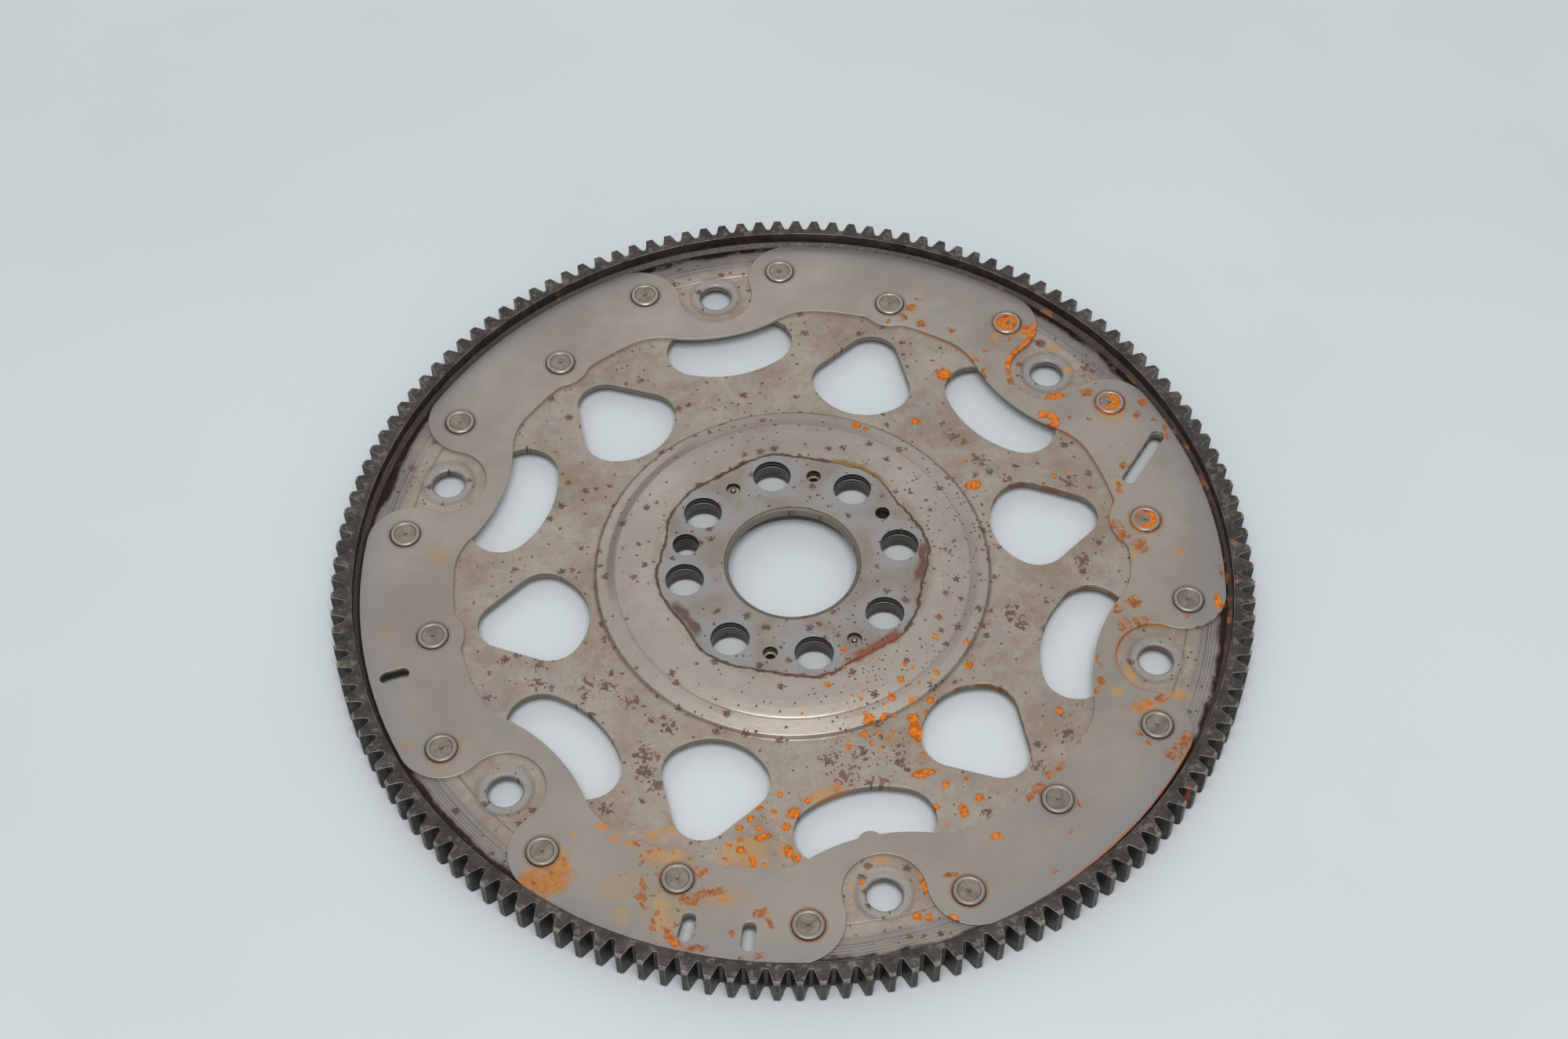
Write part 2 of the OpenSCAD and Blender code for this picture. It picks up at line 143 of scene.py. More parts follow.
# %% Helpers for groups and materials
def start_group(name, inputs, outputs):
    """An empty shader node group with named sockets, and its two end nodes."""
    group = bpy.data.node_groups.new(name, "ShaderNodeTree")
    for label, kind, value in inputs:
        socket = group.interface.new_socket(label, in_out="INPUT", socket_type="NodeSocket" + kind)
        if value is not None:
            socket.default_value = value
    for label, kind in outputs:
        group.interface.new_socket(label, in_out="OUTPUT", socket_type="NodeSocket" + kind)
    return group, group.nodes.new("NodeGroupInput").outputs, group.nodes.new("NodeGroupOutput").inputs


def use(tree, group, **sockets):
    """Adds a node group to a tree. Underscores in a socket's name stand for spaces."""
    named = {key.replace("_", " "): value for key, value in sockets.items()}
    return add(tree, "ShaderNodeGroup", named, node_tree=group).outputs


def start_material(name):
    """A material with its shader, and the place on the object that patterns are looked up by."""
    made = bpy.data.materials.new(name)
    made.use_nodes = True
    shader = made.node_tree.nodes["Principled BSDF"]
    place = made.node_tree.nodes.new("ShaderNodeTexCoord").outputs["Object"]
    return made, made.node_tree, shader, place


def finish_material(tree, shader, **sockets):
    """Fills the shader's sockets."""
    for key, value in sockets.items():
        fill(tree, shader.inputs[key.replace("_", " ")], value)


print("ready to build groups and materials")

# %% [markdown]
# ## Place on the disc
# Nearly everything on a flexplate goes round its axis, so the finishes are written in terms of the distance
# from the axis and the angle round it. This group turns a place into those two, and the height.

# %% Group: place round the axis
polar, given, result = start_group(
    "Place Round Axis",
    [("Place", "Vector", None)],
    [("Radius", "Float"), ("Angle", "Float"), ("Height", "Float"), ("Flat", "Vector")],
)
parts = add(polar, "ShaderNodeSeparateXYZ", {0: given["Place"]}).outputs
flat = add(polar, "ShaderNodeCombineXYZ", {0: parts[0], 1: parts[1]}).outputs[0]
fill(polar, result["Radius"], vector(polar, "LENGTH", flat)["Value"])
fill(polar, result["Angle"], calc(polar, "ARCTAN2", parts[1], parts[0]))
fill(polar, result["Height"], parts[2])
fill(polar, result["Flat"], flat)
print("made group", polar.name)

# %% [markdown]
# ## The nearest hole of a ring of holes
# Bolts and rivets stand in circles. To find the distance to the nearest one, the angle is wrapped into one
# sector, which folds all the holes of a circle onto a single one.

# %% Group: nearest in a ring
nearest, given, result = start_group(
    "Nearest In Ring",
    [("Radius", "Float", 0.1), ("Angle", "Float", 0.0), ("Count", "Float", 6.0), ("First", "Float", 0.0),
     ("Circle", "Float", 0.1)],
    [("Distance", "Float"), ("Out", "Float"), ("Side", "Float")],
)
half = calc(nearest, "DIVIDE", math.pi, given["Count"])
folded = calc(nearest, "WRAP", calc(nearest, "SUBTRACT", given["Angle"], given["First"]), half,
              calc(nearest, "MULTIPLY", half, -1.0))
side = calc(nearest, "MULTIPLY", given["Radius"], calc(nearest, "SINE", folded))
out = calc(nearest, "MULTIPLY", given["Radius"], calc(nearest, "COSINE", folded))
out = calc(nearest, "SUBTRACT", out, given["Circle"])
squares = calc(nearest, "ADD", times(nearest, side, side), times(nearest, out, out))
fill(nearest, result["Distance"], calc(nearest, "SQRT", squares))
fill(nearest, result["Out"], out)
fill(nearest, result["Side"], side)
print("made group", nearest.name)

# %% [markdown]
# ## The nearest rivet
# Two rivets stand beside each converter hole and one between each two holes. One of those between was turned
# by four degrees to make room for the long balance slot, so the angle is turned there before it is folded.

# %% Group: nearest rivet
RIVET_RINGS = ((79, 128.3), (101, 128.3), (0, 118.1))  # angle of the first rivet, and radius of the circle in mm

rivets, given, result = start_group(
    "Nearest Rivet", [("Radius", "Float", 0.1), ("Angle", "Float", 0.0)], [("Distance", "Float")]
)
odd = calc(rivets, "LESS_THAN", calc(rivets, "ABSOLUTE", given["Angle"]), math.radians(12))
angle = calc(rivets, "MULTIPLY_ADD", odd, math.radians(4), given["Angle"])
closest = 1.0
for first, circle in RIVET_RINGS:
    one = use(rivets, nearest, Radius=given["Radius"], Angle=angle, Count=6.0, First=math.radians(first),
              Circle=circle * MM)
    closest = calc(rivets, "MINIMUM", closest, one["Distance"])
fill(rivets, result["Distance"], closest)
print("made group", rivets.name)

# %% [markdown]
# ## Shaken place
# Rust never ends in a clean curve. A noise that pushes the place to and fro before a shape is looked up gives
# every shape a ragged edge. The reach says how far, and the grain how fine.

# %% Group: shaken place
shaken, given, result = start_group(
    "Shaken Place",
    [("Place", "Vector", None), ("Reach", "Float", 0.001), ("Grain", "Float", 500.0)],
    [("Place", "Vector")],
)
push = noise(shaken, given["Place"], given["Grain"], 3, 0.6)["Color"]
push = vector(shaken, "SUBTRACT", push, (0.5, 0.5, 0.5))[0]
push = vector(shaken, "MULTIPLY", push, (1.0, 1.0, 0.0))[0]
push = vector(shaken, "SCALE", push, given["Reach"])[0]
fill(shaken, result["Place"], vector(shaken, "ADD", given["Place"], push)[0])
print("made group", shaken.name)

# %% [markdown]
# ## Scattered spots
# Rust starts at many separate points and eats outwards. A Voronoi pattern drops one point into each cell.
# Its random colour says how large the spot is and whether the cell has one at all. A fine noise breaks the
# spot up, so that with much of it the spot falls into a star of little grains.

# %% Group: scattered spots
spots, given, result = start_group(
    "Scattered Spots",
    [("Place", "Vector", None), ("Spacing", "Float", 0.01), ("Share", "Float", 0.5),
     ("Size", "Float", 0.002), ("Broken", "Float", 1.0), ("Grain", "Float", 1200.0), ("Seed", "Float", 0.0)],
    [("Mask", "Float"), ("Depth", "Float"), ("Tone", "Float")],
)
shifted = vector(spots, "ADD", given["Place"], given["Seed"])[0]
cells = add(spots, "ShaderNodeTexVoronoi",
            {"Vector": shifted, "Scale": calc(spots, "DIVIDE", 1.0, given["Spacing"])}, voronoi_dimensions="2D")
chance = add(spots, "ShaderNodeSeparateColor", {0: cells.outputs["Color"]}).outputs
share = ramp(spots, calc(spots, "POWER", chance[0], 2.0), 0.0, 1.0, 0.3, 1.0)
reach = calc(spots, "MULTIPLY", given["Size"], share)
apart = calc(spots, "DIVIDE", calc(spots, "MULTIPLY", cells.outputs["Distance"], given["Spacing"]), reach)
crumbs = calc(spots, "SUBTRACT", noise(spots, shifted, given["Grain"], 3, 0.65)[0], 0.5)
depth = calc(spots, "SUBTRACT", calc(spots, "MULTIPLY_ADD", crumbs, given["Broken"], 1.0), apart)
present = calc(spots, "LESS_THAN", chance[1], given["Share"])
fill(spots, result["Mask"], times(spots, ramp(spots, depth, 0.0, 0.2), present))
fill(spots, result["Depth"], times(spots, depth, present))
fill(spots, result["Tone"], chance[2])
print("made group", spots.name)

# %% [markdown]
# ## Stains at chosen places
# Some marks are where they are for a reason: a drop of water that dried beside a window, a rivet that lost its
# oil. Each stain is a blot about a chosen middle, longer one way if it ran. Its depth is one in the middle and
# nought at its edge, so a material can paint the edge and the core in different colours.

# %% Group: one stain
stain, given, result = start_group(
    "Stain",
    [("Place", "Vector", None), ("Middle", "Vector", None), ("Reach", "Float", 0.005),
     ("Stretch", "Vector", (1.0, 1.0, 0.0))],
    [("Depth", "Float")],
)
away = vector(stain, "SUBTRACT", given["Place"], given["Middle"])[0]
away = vector(stain, "LENGTH", vector(stain, "MULTIPLY", away, given["Stretch"])[0])["Value"]
fill(stain, result["Depth"], calc(stain, "SUBTRACT", 1.0, calc(stain, "DIVIDE", away, given["Reach"])))
print("made group", stain.name)


def stains(tree, place, chosen):
    """The deepest of several stains, each (x, y, reach) in mm. If it ran, its squeeze in x and y follows."""
    total = -1.0
    for x, y, reach, *squeeze in chosen:
        sx, sy = squeeze or (1.0, 1.0)
        one = use(tree, stain, Place=place, Middle=(x * MM, y * MM, 0.0), Reach=reach * MM, Stretch=(sx, sy, 0.0))
        total = calc(tree, "MAXIMUM", total, one["Depth"])
    return total


# %% [markdown]
# ## Mottled steel
# Rolled sheet is never one tone. Oil, handling and the first film of rust leave it cloudy at the size of a hand
# and grainy at the size of a pinhead. The group adds a broad noise and a fine one.

# %% Group: mottled steel
mottle, given, result = start_group(
    "Mottled Steel",
    [("Place", "Vector", None), ("Broad", "Float", 30.0), ("Fine", "Float", 900.0)],
    [("Cloud", "Float"), ("Grain", "Float")],
)
fill(mottle, result["Cloud"], noise(mottle, given["Place"], given["Broad"], 4, 0.6)[0])
fill(mottle, result["Grain"], noise(mottle, given["Place"], given["Fine"], 3, 0.6)[0])
print("made group", mottle.name)

# %% [markdown]
# ## Turned lines
# The rim was faced on a lathe before the ring went on, and a washer is turned too. The tool leaves fine rings.
# The pattern is a noise along the radius alone, so every ring keeps its tone all the way round.

# %% Group: turned lines
turned, given, result = start_group(
    "Turned Lines", [("Radius", "Float", 0.1), ("Pitch", "Float", 0.0005)], [("Lines", "Float")]
)
along = calc(turned, "DIVIDE", given["Radius"], given["Pitch"])
rings = add(turned, "ShaderNodeTexNoise", {"W": along, "Scale": 1.0, "Detail": 2.0}, noise_dimensions="1D")
fill(turned, result["Lines"], rings.outputs[0])
print("made group", turned.name)

# %% [markdown]
# ## Edges, corners and cut walls
# Handling polishes the outer edges bright, and that bright edge also carries a painted highlight. The inner corners
# are darkened with painted shade, along with the oil and dirt that stay there.
# The Bevel node gives a normal rounded over each edge. Where it differs from the plain normal there is an edge.
# The Ambient Occlusion node tells how shut in a place is, which is where the painted shade and the dirt go.
# A wall that the press cut stands upright, so its normal has no height, and a face turned down has it negative.

# %% Group: worn edges with painted highlight, painted shade and dirt in corners, and cut walls
edges, given, result = start_group(
    "Edges And Corners",
    [("Width", "Float", 0.0003), ("Corner", "Float", 0.002)],
    [("Edge", "Float"), ("Dirt", "Float"), ("Wall", "Float"), ("Upper", "Float"), ("Normal", "Vector")],
)
rounded = add(edges, "ShaderNodeBevel", {"Radius": given["Width"]}, samples=8).outputs[0]
plain = add(edges, "ShaderNodeNewGeometry").outputs["Normal"]
same = vector(edges, "DOT_PRODUCT", rounded, plain)["Value"]
shut = add(edges, "ShaderNodeAmbientOcclusion", {"Distance": given["Corner"]}, samples=10).outputs["AO"]
lift = add(edges, "ShaderNodeSeparateXYZ", {0: plain}).outputs[2]
# The first mask finds edges: wear, and a painted highlight.
fill(edges, result["Edge"], ramp(edges, same, 0.995, 0.85))
# The second mask darkens shut places: painted shade, and the dirt that lies there.
fill(edges, result["Dirt"], ramp(edges, shut, 0.75, 0.35))
fill(edges, result["Wall"], ramp(edges, calc(edges, "ABSOLUTE", lift), 0.5, 0.2))
fill(edges, result["Upper"], ramp(edges, lift, -0.6, -0.3))
fill(edges, result["Normal"], rounded)
print("made group", edges.name)

# %% [markdown]
# ## Colours of rust
# Old rust on steel is a dark purple-brown, and fresh rust where water stood is bright orange. A drop of fresh
# rust dries from its edge, so the edge is red-brown and the body orange with darker grains. Round the drop the
# damp steel keeps a pale yellow halo.

# %% Colours of rust
OLD_RUST = colour(76, 58, 52)
BROWN_RUST = colour(102, 68, 52)
FRESH_RUST = colour(206, 114, 30)
EDGE_RUST = colour(132, 70, 36)
THIN_RUST = colour(162, 120, 70)


def fresh_colour(tree, depth, grain):
    """Orange with a red-brown edge, and darker grains."""
    body = blend(tree, ramp(tree, grain, 0.44, 0.6), FRESH_RUST, colour(158, 82, 30))
    return blend(tree, ramp(tree, depth, 0.34, 0.12), body, EDGE_RUST)


print("rust runs from", [round(v, 2) for v in OLD_RUST[:3]], "to", [round(v, 2) for v in FRESH_RUST[:3]])

# %% [markdown]
# ## The drive disc: bare sheet
# The disc is pickled and lightly oiled sheet, taupe with a warm cast. One flat colour would look like plastic, so
# noises of several sizes shift the tone: clouds as broad as a hand, patches as wide as a finger, and a grain.
# The material is built over several cells. Each lays one more layer over the tone, as rust lies over dirt and
# dirt over steel.

# %% Material: drive disc, bare sheet
disc, tree, shader, place = start_material("disc_steel")
where = use(tree, polar, Place=place)
flat, radius, angle, height = where["Flat"], where["Radius"], where["Angle"], where["Height"]
cloud = use(tree, mottle, Place=flat, Broad=34.0, Fine=800.0)
drift = noise(tree, flat, 70, 3)[0]
patch = noise(tree, flat, 220, 4, 0.7)[0]
worn = use(tree, edges, Width=0.3 * MM, Corner=2.0 * MM)
tone = blend(tree, ramp(tree, cloud["Cloud"], 0.33, 0.68), colour(161, 150, 139), colour(141, 127, 113))
tone = blend(tree, ramp(tree, cloud["Grain"], 0.5, 0.75, 0.0, 0.3), tone, colour(112, 98, 86))
tone = blend(tree, ramp(tree, patch, 0.52, 0.66, 0.0, 0.35), tone, colour(170, 163, 156))
tone = blend(tree, ramp(tree, patch, 0.46, 0.34, 0.0, 0.35), tone, colour(122, 106, 92))
print("made material", disc.name, "with bare sheet")

# %% [markdown]
# ## The drive disc: the pressed shoulder
# The dished shoulder round the hub is painted a little lighter than the flat sheet, a painted sheen. Its fine
# grooves and its foot carry dark lines of painted shade, and its far side is painted darker, painted shade. A band
# of painted shade lies in a shallow valley on its upper left. Each groove is a soft line at one radius. A broad
# noise makes the painted shade come and go.

# %% Material: drive disc, pressed shoulder
GROOVES = ((58.3, 0.8, 0.2), (64.5, 1.0, 0.35), (128.5, 0.7, 0.2))  # radius, half width, strength
VALLEY = 59.4

shoulder = band(tree, radius, 44, 47, 63.4, 64)
# The shoulder is painted lighter: a painted sheen.
tone = blend(tree, times(tree, shoulder, 0.5), tone, colour(168, 161, 154))
dull = ramp(tree, drift, 0.3, 0.65, 0.4, 1.0)
# The grooves are dark lines of painted shade.
for at, half, strength in GROOVES:
    tone = blend(tree, times(tree, line(tree, radius, at, half, strength), dull), tone, colour(72, 62, 55))
# Painted shade: the far side of the shoulder is darker.
far = ramp(tree, stains(tree, flat, [(8, 54, 50)]), 0.0, 0.5, 0.0, 0.35)
tone = blend(tree, times(tree, shoulder, far), tone, colour(122, 113, 103))
# Painted shade: a dark band in the valley on the upper left.
upper_left = ramp(tree, stains(tree, flat, [(-48, 34, 44)]), 0.0, 0.5)
valley = calc(tree, "MAXIMUM", upper_left, ramp(tree, noise(tree, flat, 16, 1)[0], 0.4, 0.6, 0.0, 0.5))
tone = blend(tree, times(tree, valley, line(tree, radius, VALLEY, 1.9, 0.7)), tone, colour(106, 97, 87))
print("laid dirt in", len(GROOVES), "grooves and the valley of the shoulder")

# %% [markdown]
# ## The drive disc: the turned rim
# The rim was faced on a lathe before the ring gear went on, so dark and bright rings lie side by side on it.
# Oil and rust creep in from the weld in a dark border. Adding a noise to the radius lets that border wander.
# Some of the sheet between has a cool, washed look.

# %% Material: drive disc, turned rim
RIM_START, RIM_FULL = 131 * MM, 133.5 * MM
CREEP_START, CREEP_FULL = 141.6 * MM, 143.2 * MM

rings = use(tree, turned, Radius=radius, Pitch=0.36 * MM)["Lines"]
rim = times(tree, ramp(tree, radius, RIM_START, RIM_FULL), dull)
tone = blend(tree, times(tree, rim, 0.7), tone, colour(120, 118, 118))
tone = blend(tree, times(tree, rim, ramp(tree, rings, 0.52, 0.62, 0.0, 0.85)), tone, colour(80, 77, 78))
tone = blend(tree, times(tree, rim, ramp(tree, rings, 0.44, 0.36, 0.0, 0.45)), tone, colour(164, 162, 160))
creep = calc(tree, "MULTIPLY_ADD", drift, 7 * MM, radius)
tone = blend(tree, ramp(tree, creep, CREEP_START, CREEP_FULL, 0.0, 0.97), tone, colour(40, 27, 24))
wash = ramp(tree, noise(tree, flat, 95, 4, 0.65)[0], 0.54, 0.66, 0.0, 0.4)
tone = blend(tree, times(tree, wash, ramp(tree, radius, 64 * MM, 70 * MM)), tone, colour(132, 134, 138))
print("turned the rim from", RIM_START / MM, "mm outwards")

# %% [markdown]
# ## The drive disc: the clamp plate
# A clamp plate sat under the eight crankshaft bolts. It kept the steel below it grey, and the bolt heads left pale
# rings. Its edge waved in and out with the bolts, so its outline is a circle with a cosine of eight waves.
# The wall of the middle bore was turned, and it is darker at the chamfer.

# %% Material: drive disc, clamp plate
BOLTS, BOLT_CIRCLE, FIRST_BOLT = 8.0, 35.6 * MM, math.radians(88)
CLAMP_EDGE, CLAMP_WAVE = 42.2 * MM, 1.0 * MM

wave = calc(tree, "COSINE", calc(tree, "MULTIPLY_ADD", angle, BOLTS, math.radians(16)))
clamp = calc(tree, "MULTIPLY_ADD", drift, 2.6 * MM, calc(tree, "MULTIPLY_ADD", wave, CLAMP_WAVE, CLAMP_EDGE))
beyond = calc(tree, "SUBTRACT", radius, clamp)
under = ramp(tree, beyond, 0.3 * MM, -0.5 * MM)
kept = blend(tree, ramp(tree, drift, 0.35, 0.6), colour(143, 140, 137), colour(132, 124, 116))
tone = blend(tree, times(tree, under, 0.75), tone, kept)
bolt = use(tree, nearest, Radius=radius, Angle=angle, Count=BOLTS, First=FIRST_BOLT, Circle=BOLT_CIRCLE)
bolt = calc(tree, "MULTIPLY_ADD", drift, 4 * MM, bolt["Distance"])
pale = ramp(tree, bolt, 12.8 * MM, 9.8 * MM, 0.0, 0.6)
tone = blend(tree, times(tree, under, pale), tone, colour(144, 145, 147))
tone = blend(tree, ramp(tree, radius, 22.3 * MM, 21.9 * MM, 0.0, 0.6), tone, colour(94, 86, 78))
tone = blend(tree, line(tree, radius, 22.1, 0.5, 0.6), tone, colour(70, 62, 57))
wear_lines = use(tree, turned, Radius=height, Pitch=0.5 * MM)["Lines"]
bore = blend(tree, ramp(tree, wear_lines, 0.4, 0.6), colour(136, 127, 116), colour(98, 88, 78))
tone = blend(tree, times(tree, worn["Wall"], ramp(tree, radius, 23 * MM, 22 * MM, 0.0, 0.7)), tone, bore)
print("marked the clamp plate and", int(BOLTS), "bolt heads")

# %% [markdown]
# ## The drive disc: rust at the clamp's edge
# Oil and rust crept in along the edge of the clamp plate. First comes a dark outline whose thickness a noise
# changes. Then come six stretches of rust, each over its own range of angles and in its own colour.

# %% Material: drive disc, rust at the clamp's edge
STRETCHES = (  # middle and half range in degrees, distance from the edge and half width in mm, colour
    (46, 17, 3.2, 1.5, colour(140, 104, 64)),
    (-63, 15, 1.4, 2.8, colour(132, 72, 52)),
    (-160, 13, 0.4, 2.4, colour(92, 68, 64)),
    (-13, 13, 0.8, 1.8, colour(98, 68, 62)),
    (-96, 17, 2.3, 0.9, colour(112, 68, 62)),
    (105, 10, 2.6, 1.2, colour(74, 60, 52)),
)

wander = noise(tree, flat, 210, 3, 0.6)[0]
strayed = calc(tree, "MULTIPLY_ADD", wander, 2.2 * MM, beyond)
thick = calc(tree, "ABSOLUTE", calc(tree, "SUBTRACT", strayed, 1.1 * MM))
thick = calc(tree, "SUBTRACT", thick, times(tree, noise(tree, flat, 330, 3, 0.6)[0], 0.9 * MM))
tone = blend(tree, ramp(tree, thick, 0.25 * MM, -0.2 * MM, 0.0, 0.85), tone, colour(66, 54, 48))
wandering = calc(tree, "MULTIPLY_ADD", wander, 5.0 * MM, beyond)
for middle, half, off, wide, rust in STRETCHES:
    turn = calc(tree, "WRAP", calc(tree, "SUBTRACT", angle, math.radians(middle)), math.pi, -math.pi)
    stretch = ramp(tree, calc(tree, "ABSOLUTE", turn), math.radians(half), math.radians(0.55 * half))
    tone = blend(tree, times(tree, stretch, line(tree, wandering, off, wide, 0.85)), tone, rust)
print("rusted", len(STRETCHES), "stretches of the clamp's edge")

# %% [markdown]
# ## The drive disc: pads and cut walls
# Round each converter hole lies a pale coined pad, with a dark ring of painted shade at its sloped rim. The walls of
# every cut opening show how a press works: the punch burnishes an upper band and then tears the rest, with a dark
# line between. The walls beside the long slot are painted dark, painted shade. The walls of the crankshaft holes are
# dark grey with a black line part way down, and the damp walls on the right have begun to rust.

# %% Material: drive disc, pads and cut walls
HOLES, HOLE_CIRCLE, FIRST_HOLE = 6.0, 120.6 * MM, math.radians(90)
TEAR = 5.3  # height in mm at which the punch began to tear

hole = use(tree, nearest, Radius=radius, Angle=angle, Count=HOLES, First=FIRST_HOLE, Circle=HOLE_CIRCLE)
ragged_hole = calc(tree, "MULTIPLY_ADD", drift, 1.4 * MM, hole["Distance"])
tone = blend(tree, ramp(tree, ragged_hole, 9.6 * MM, 8.0 * MM, 0.0, 0.65), tone, colour(146, 146, 145))
# Painted shade: a dark ring at the sloped rim of each pad.
tone = blend(tree, line(tree, ragged_hole, 9.4, 1.2, 0.3), tone, colour(100, 94, 88))

cut = times(tree, worn["Wall"], ramp(tree, radius, 65 * MM, 66 * MM))
shear = calc(tree, "MULTIPLY_ADD", drift, 0.8 * MM, height)
torn = blend(tree, ramp(tree, shear, TEAR * MM, 5.6 * MM), colour(118, 108, 98), colour(164, 157, 149))
torn = blend(tree, line(tree, shear, TEAR, 0.3, 0.8), torn, colour(56, 50, 46))
tone = blend(tree, times(tree, cut, 0.9), tone, torn)
# Painted shade: the walls beside the long slot are painted dark.
slot = ramp(tree, stains(tree, flat, [(-131.8, -12.5, 10)]), 0.0, 0.2, 0.0, 0.9)
tone = blend(tree, times(tree, worn["Wall"], slot), tone, colour(50, 46, 42))
# The crankshaft-hole walls are dark grey with a black line part way down.
oiled = times(tree, worn["Wall"], ramp(tree, radius, 44 * MM, 43 * MM), ramp(tree, radius, 24 * MM, 25 * MM))
thread = blend(tree, line(tree, height, 8.3, 0.35), colour(40, 37, 35), colour(98, 92, 87))
tone = blend(tree, oiled, tone, thread)
damp = ramp(tree, stains(tree, flat, [(72, 34, 46), (66, -44, 52)]), 0.0, 0.4)
damp = times(tree, damp, ramp(tree, noise(tree, place, 160, 3)[0], 0.4, 0.56, 0.0, 0.85))
tone = blend(tree, times(tree, cut, damp), tone, colour(118, 72, 42))
print("coined", int(HOLES), "pads and finished the cut walls")

# %% [markdown]
# ## The drive disc: painted shade and dirt, seam and worn edges
# The corners are darkened with painted shade, and the dirt that gathers there. Where the disc meets the inner edge
# of the cover ring on the wet side, the seam holds orange rust instead. Last come the edges, which handling has
# rubbed bright in places, with a painted highlight along them.

# %% Material: drive disc, painted shade and dirt, seam and worn edges
# Painted shade, with the dirt that lies there, darkens the corners.
dirt = times(tree, worn["Dirt"], ramp(tree, worn["Wall"], 0.0, 1.0, 0.45, 0.12))
tone = blend(tree, dirt, tone, colour(58, 48, 42))
seam = ramp(tree, stains(tree, flat, [(100, 14, 38), (64, 84, 22), (92, -52, 24)]), 0.0, 0.3)
seam = times(tree, seam, ramp(tree, drift, 0.38, 0.5, 0.2, 0.95), ramp(tree, radius, 84 * MM, 88 * MM))
seam = times(tree, seam, ramp(tree, worn["Dirt"], 0.0, 0.35), calc(tree, "SUBTRACT", 1.0, worn["Wall"]))
tone = blend(tree, seam, tone, colour(168, 92, 36))
# The rubbed edges are bright wear with a painted highlight.
rubbed = times(tree, worn["Edge"], ramp(tree, drift, 0.35, 0.6, 0.15, 0.5))
tone = blend(tree, rubbed, tone, colour(172, 165, 157))
print("added dirt, the rusty seam and the worn edges")

# %% [markdown]
# ## The drive disc: old rust
# Old rust sits in specks that gather in drifts. On the lower right of the shoulder they are fine as pepper. The
# share of cells that hold a speck changes over the disc, so drifts and clear areas come from one pattern.
# Larger clumps stand at chosen places. A coarse noise breaks each one into crumbs.

# %% Material: drive disc, old rust
CLUMPS = [
    (-88.4, -24.3, 2.8), (-86.8, -17.7, 2.4), (-97.0, -13.5, 2.0), (-104.3, -25.8, 2.6), (-73.0, -28.5, 2.8),
    (-67.5, -30.5, 3.2), (-74.6, -31.6, 2.2), (-60.2, -38.4, 3.2), (-51.2, -49.7, 3.0), (-60.5, -58.2, 4.4),
    (-61.7, -63.5, 3.8), (-58.2, -69.5, 3.6), (-75.4, -73.4, 2.6), (15.6, -77.4, 3.6), (5.5, -72.2, 3.2),
    (-1.7, -79.0, 4.4), (-5.0, -72.6, 3.2), (36.8, -101.4, 2.4), (64.2, -32.4, 3.4), (66.5, -37.3, 3.4),
    (69.0, -79.9, 3.6), (58.9, -81.9, 2.4), (57.2, -89.4, 2.6), (66.0, 40.5, 3.6), (71.0, 29.2, 3.4),
    (49.9, -6.8, 2.0), (92.9, -18.7, 3.8), (98.2, 13.3, 3.4), (78.4, 19.2, 2.6), (118.5, 58.8, 3.4),
    (5.0, -83.4, 2.2), (9.0, -83.8, 2.2), (-5.4, -83.8, 1.6),
]

heavy = ramp(tree, noise(tree, flat, 26, 2)[0], 0.36, 0.62, 0.3, 1.0)
crowd = calc(tree, "MAXIMUM", times(tree, heavy, 0.5), line(tree, radius, 64.4, 2.2, 0.85))
specks = use(tree, spots, Place=flat, Spacing=4.6 * MM, Share=crowd, Size=1.35 * MM,
             Broken=4.6, Grain=1300.0, Seed=0.0)
loose = use(tree, shaken, Place=flat, Reach=30 * MM, Grain=40.0)["Place"]
pepper = ramp(tree, stains(tree, loose, [(14, -50, 34), (52, 8, 26)]), 0.0, 0.5, 0.12, 0.8)
fine = use(tree, spots, Place=flat, Spacing=1.7 * MM, Share=times(tree, heavy, pepper), Size=0.5 * MM,
           Broken=1.6, Grain=2200.0, Seed=0.37)
old = calc(tree, "MAXIMUM", specks["Mask"], fine["Mask"])
aged = blend(tree, ramp(tree, specks["Tone"], 0.5, 0.9), OLD_RUST, BROWN_RUST)
tone = blend(tree, times(tree, old, 0.88), tone, aged)

crumbs = calc(tree, "MULTIPLY_ADD", noise(tree, flat, 620, 3, 0.6)[0], 5.0, -2.6)
clump = ramp(tree, calc(tree, "ADD", stains(tree, flat, CLUMPS), crumbs), 0.25, 0.55, 0.0, 0.85)
clump = times(tree, clump, worn["Upper"])
tone = blend(tree, clump, tone, blend(tree, ramp(tree, drift, 0.4, 0.6), OLD_RUST, colour(100, 67, 58)))
old = calc(tree, "MAXIMUM", old, clump)
print("added", len(CLUMPS), "clumps of old rust")

# %% [markdown]
# ## The drive disc: fresh rust
# Fresh rust stands where water lay: drops of many sizes at the lower windows, one that ran down beside a window,
# and a spray of small flecks. The large drops have chosen places, and the small ones are scattered. Thin
# stains show where water only passed. All of it lies on faces that look up, since water runs off the others.

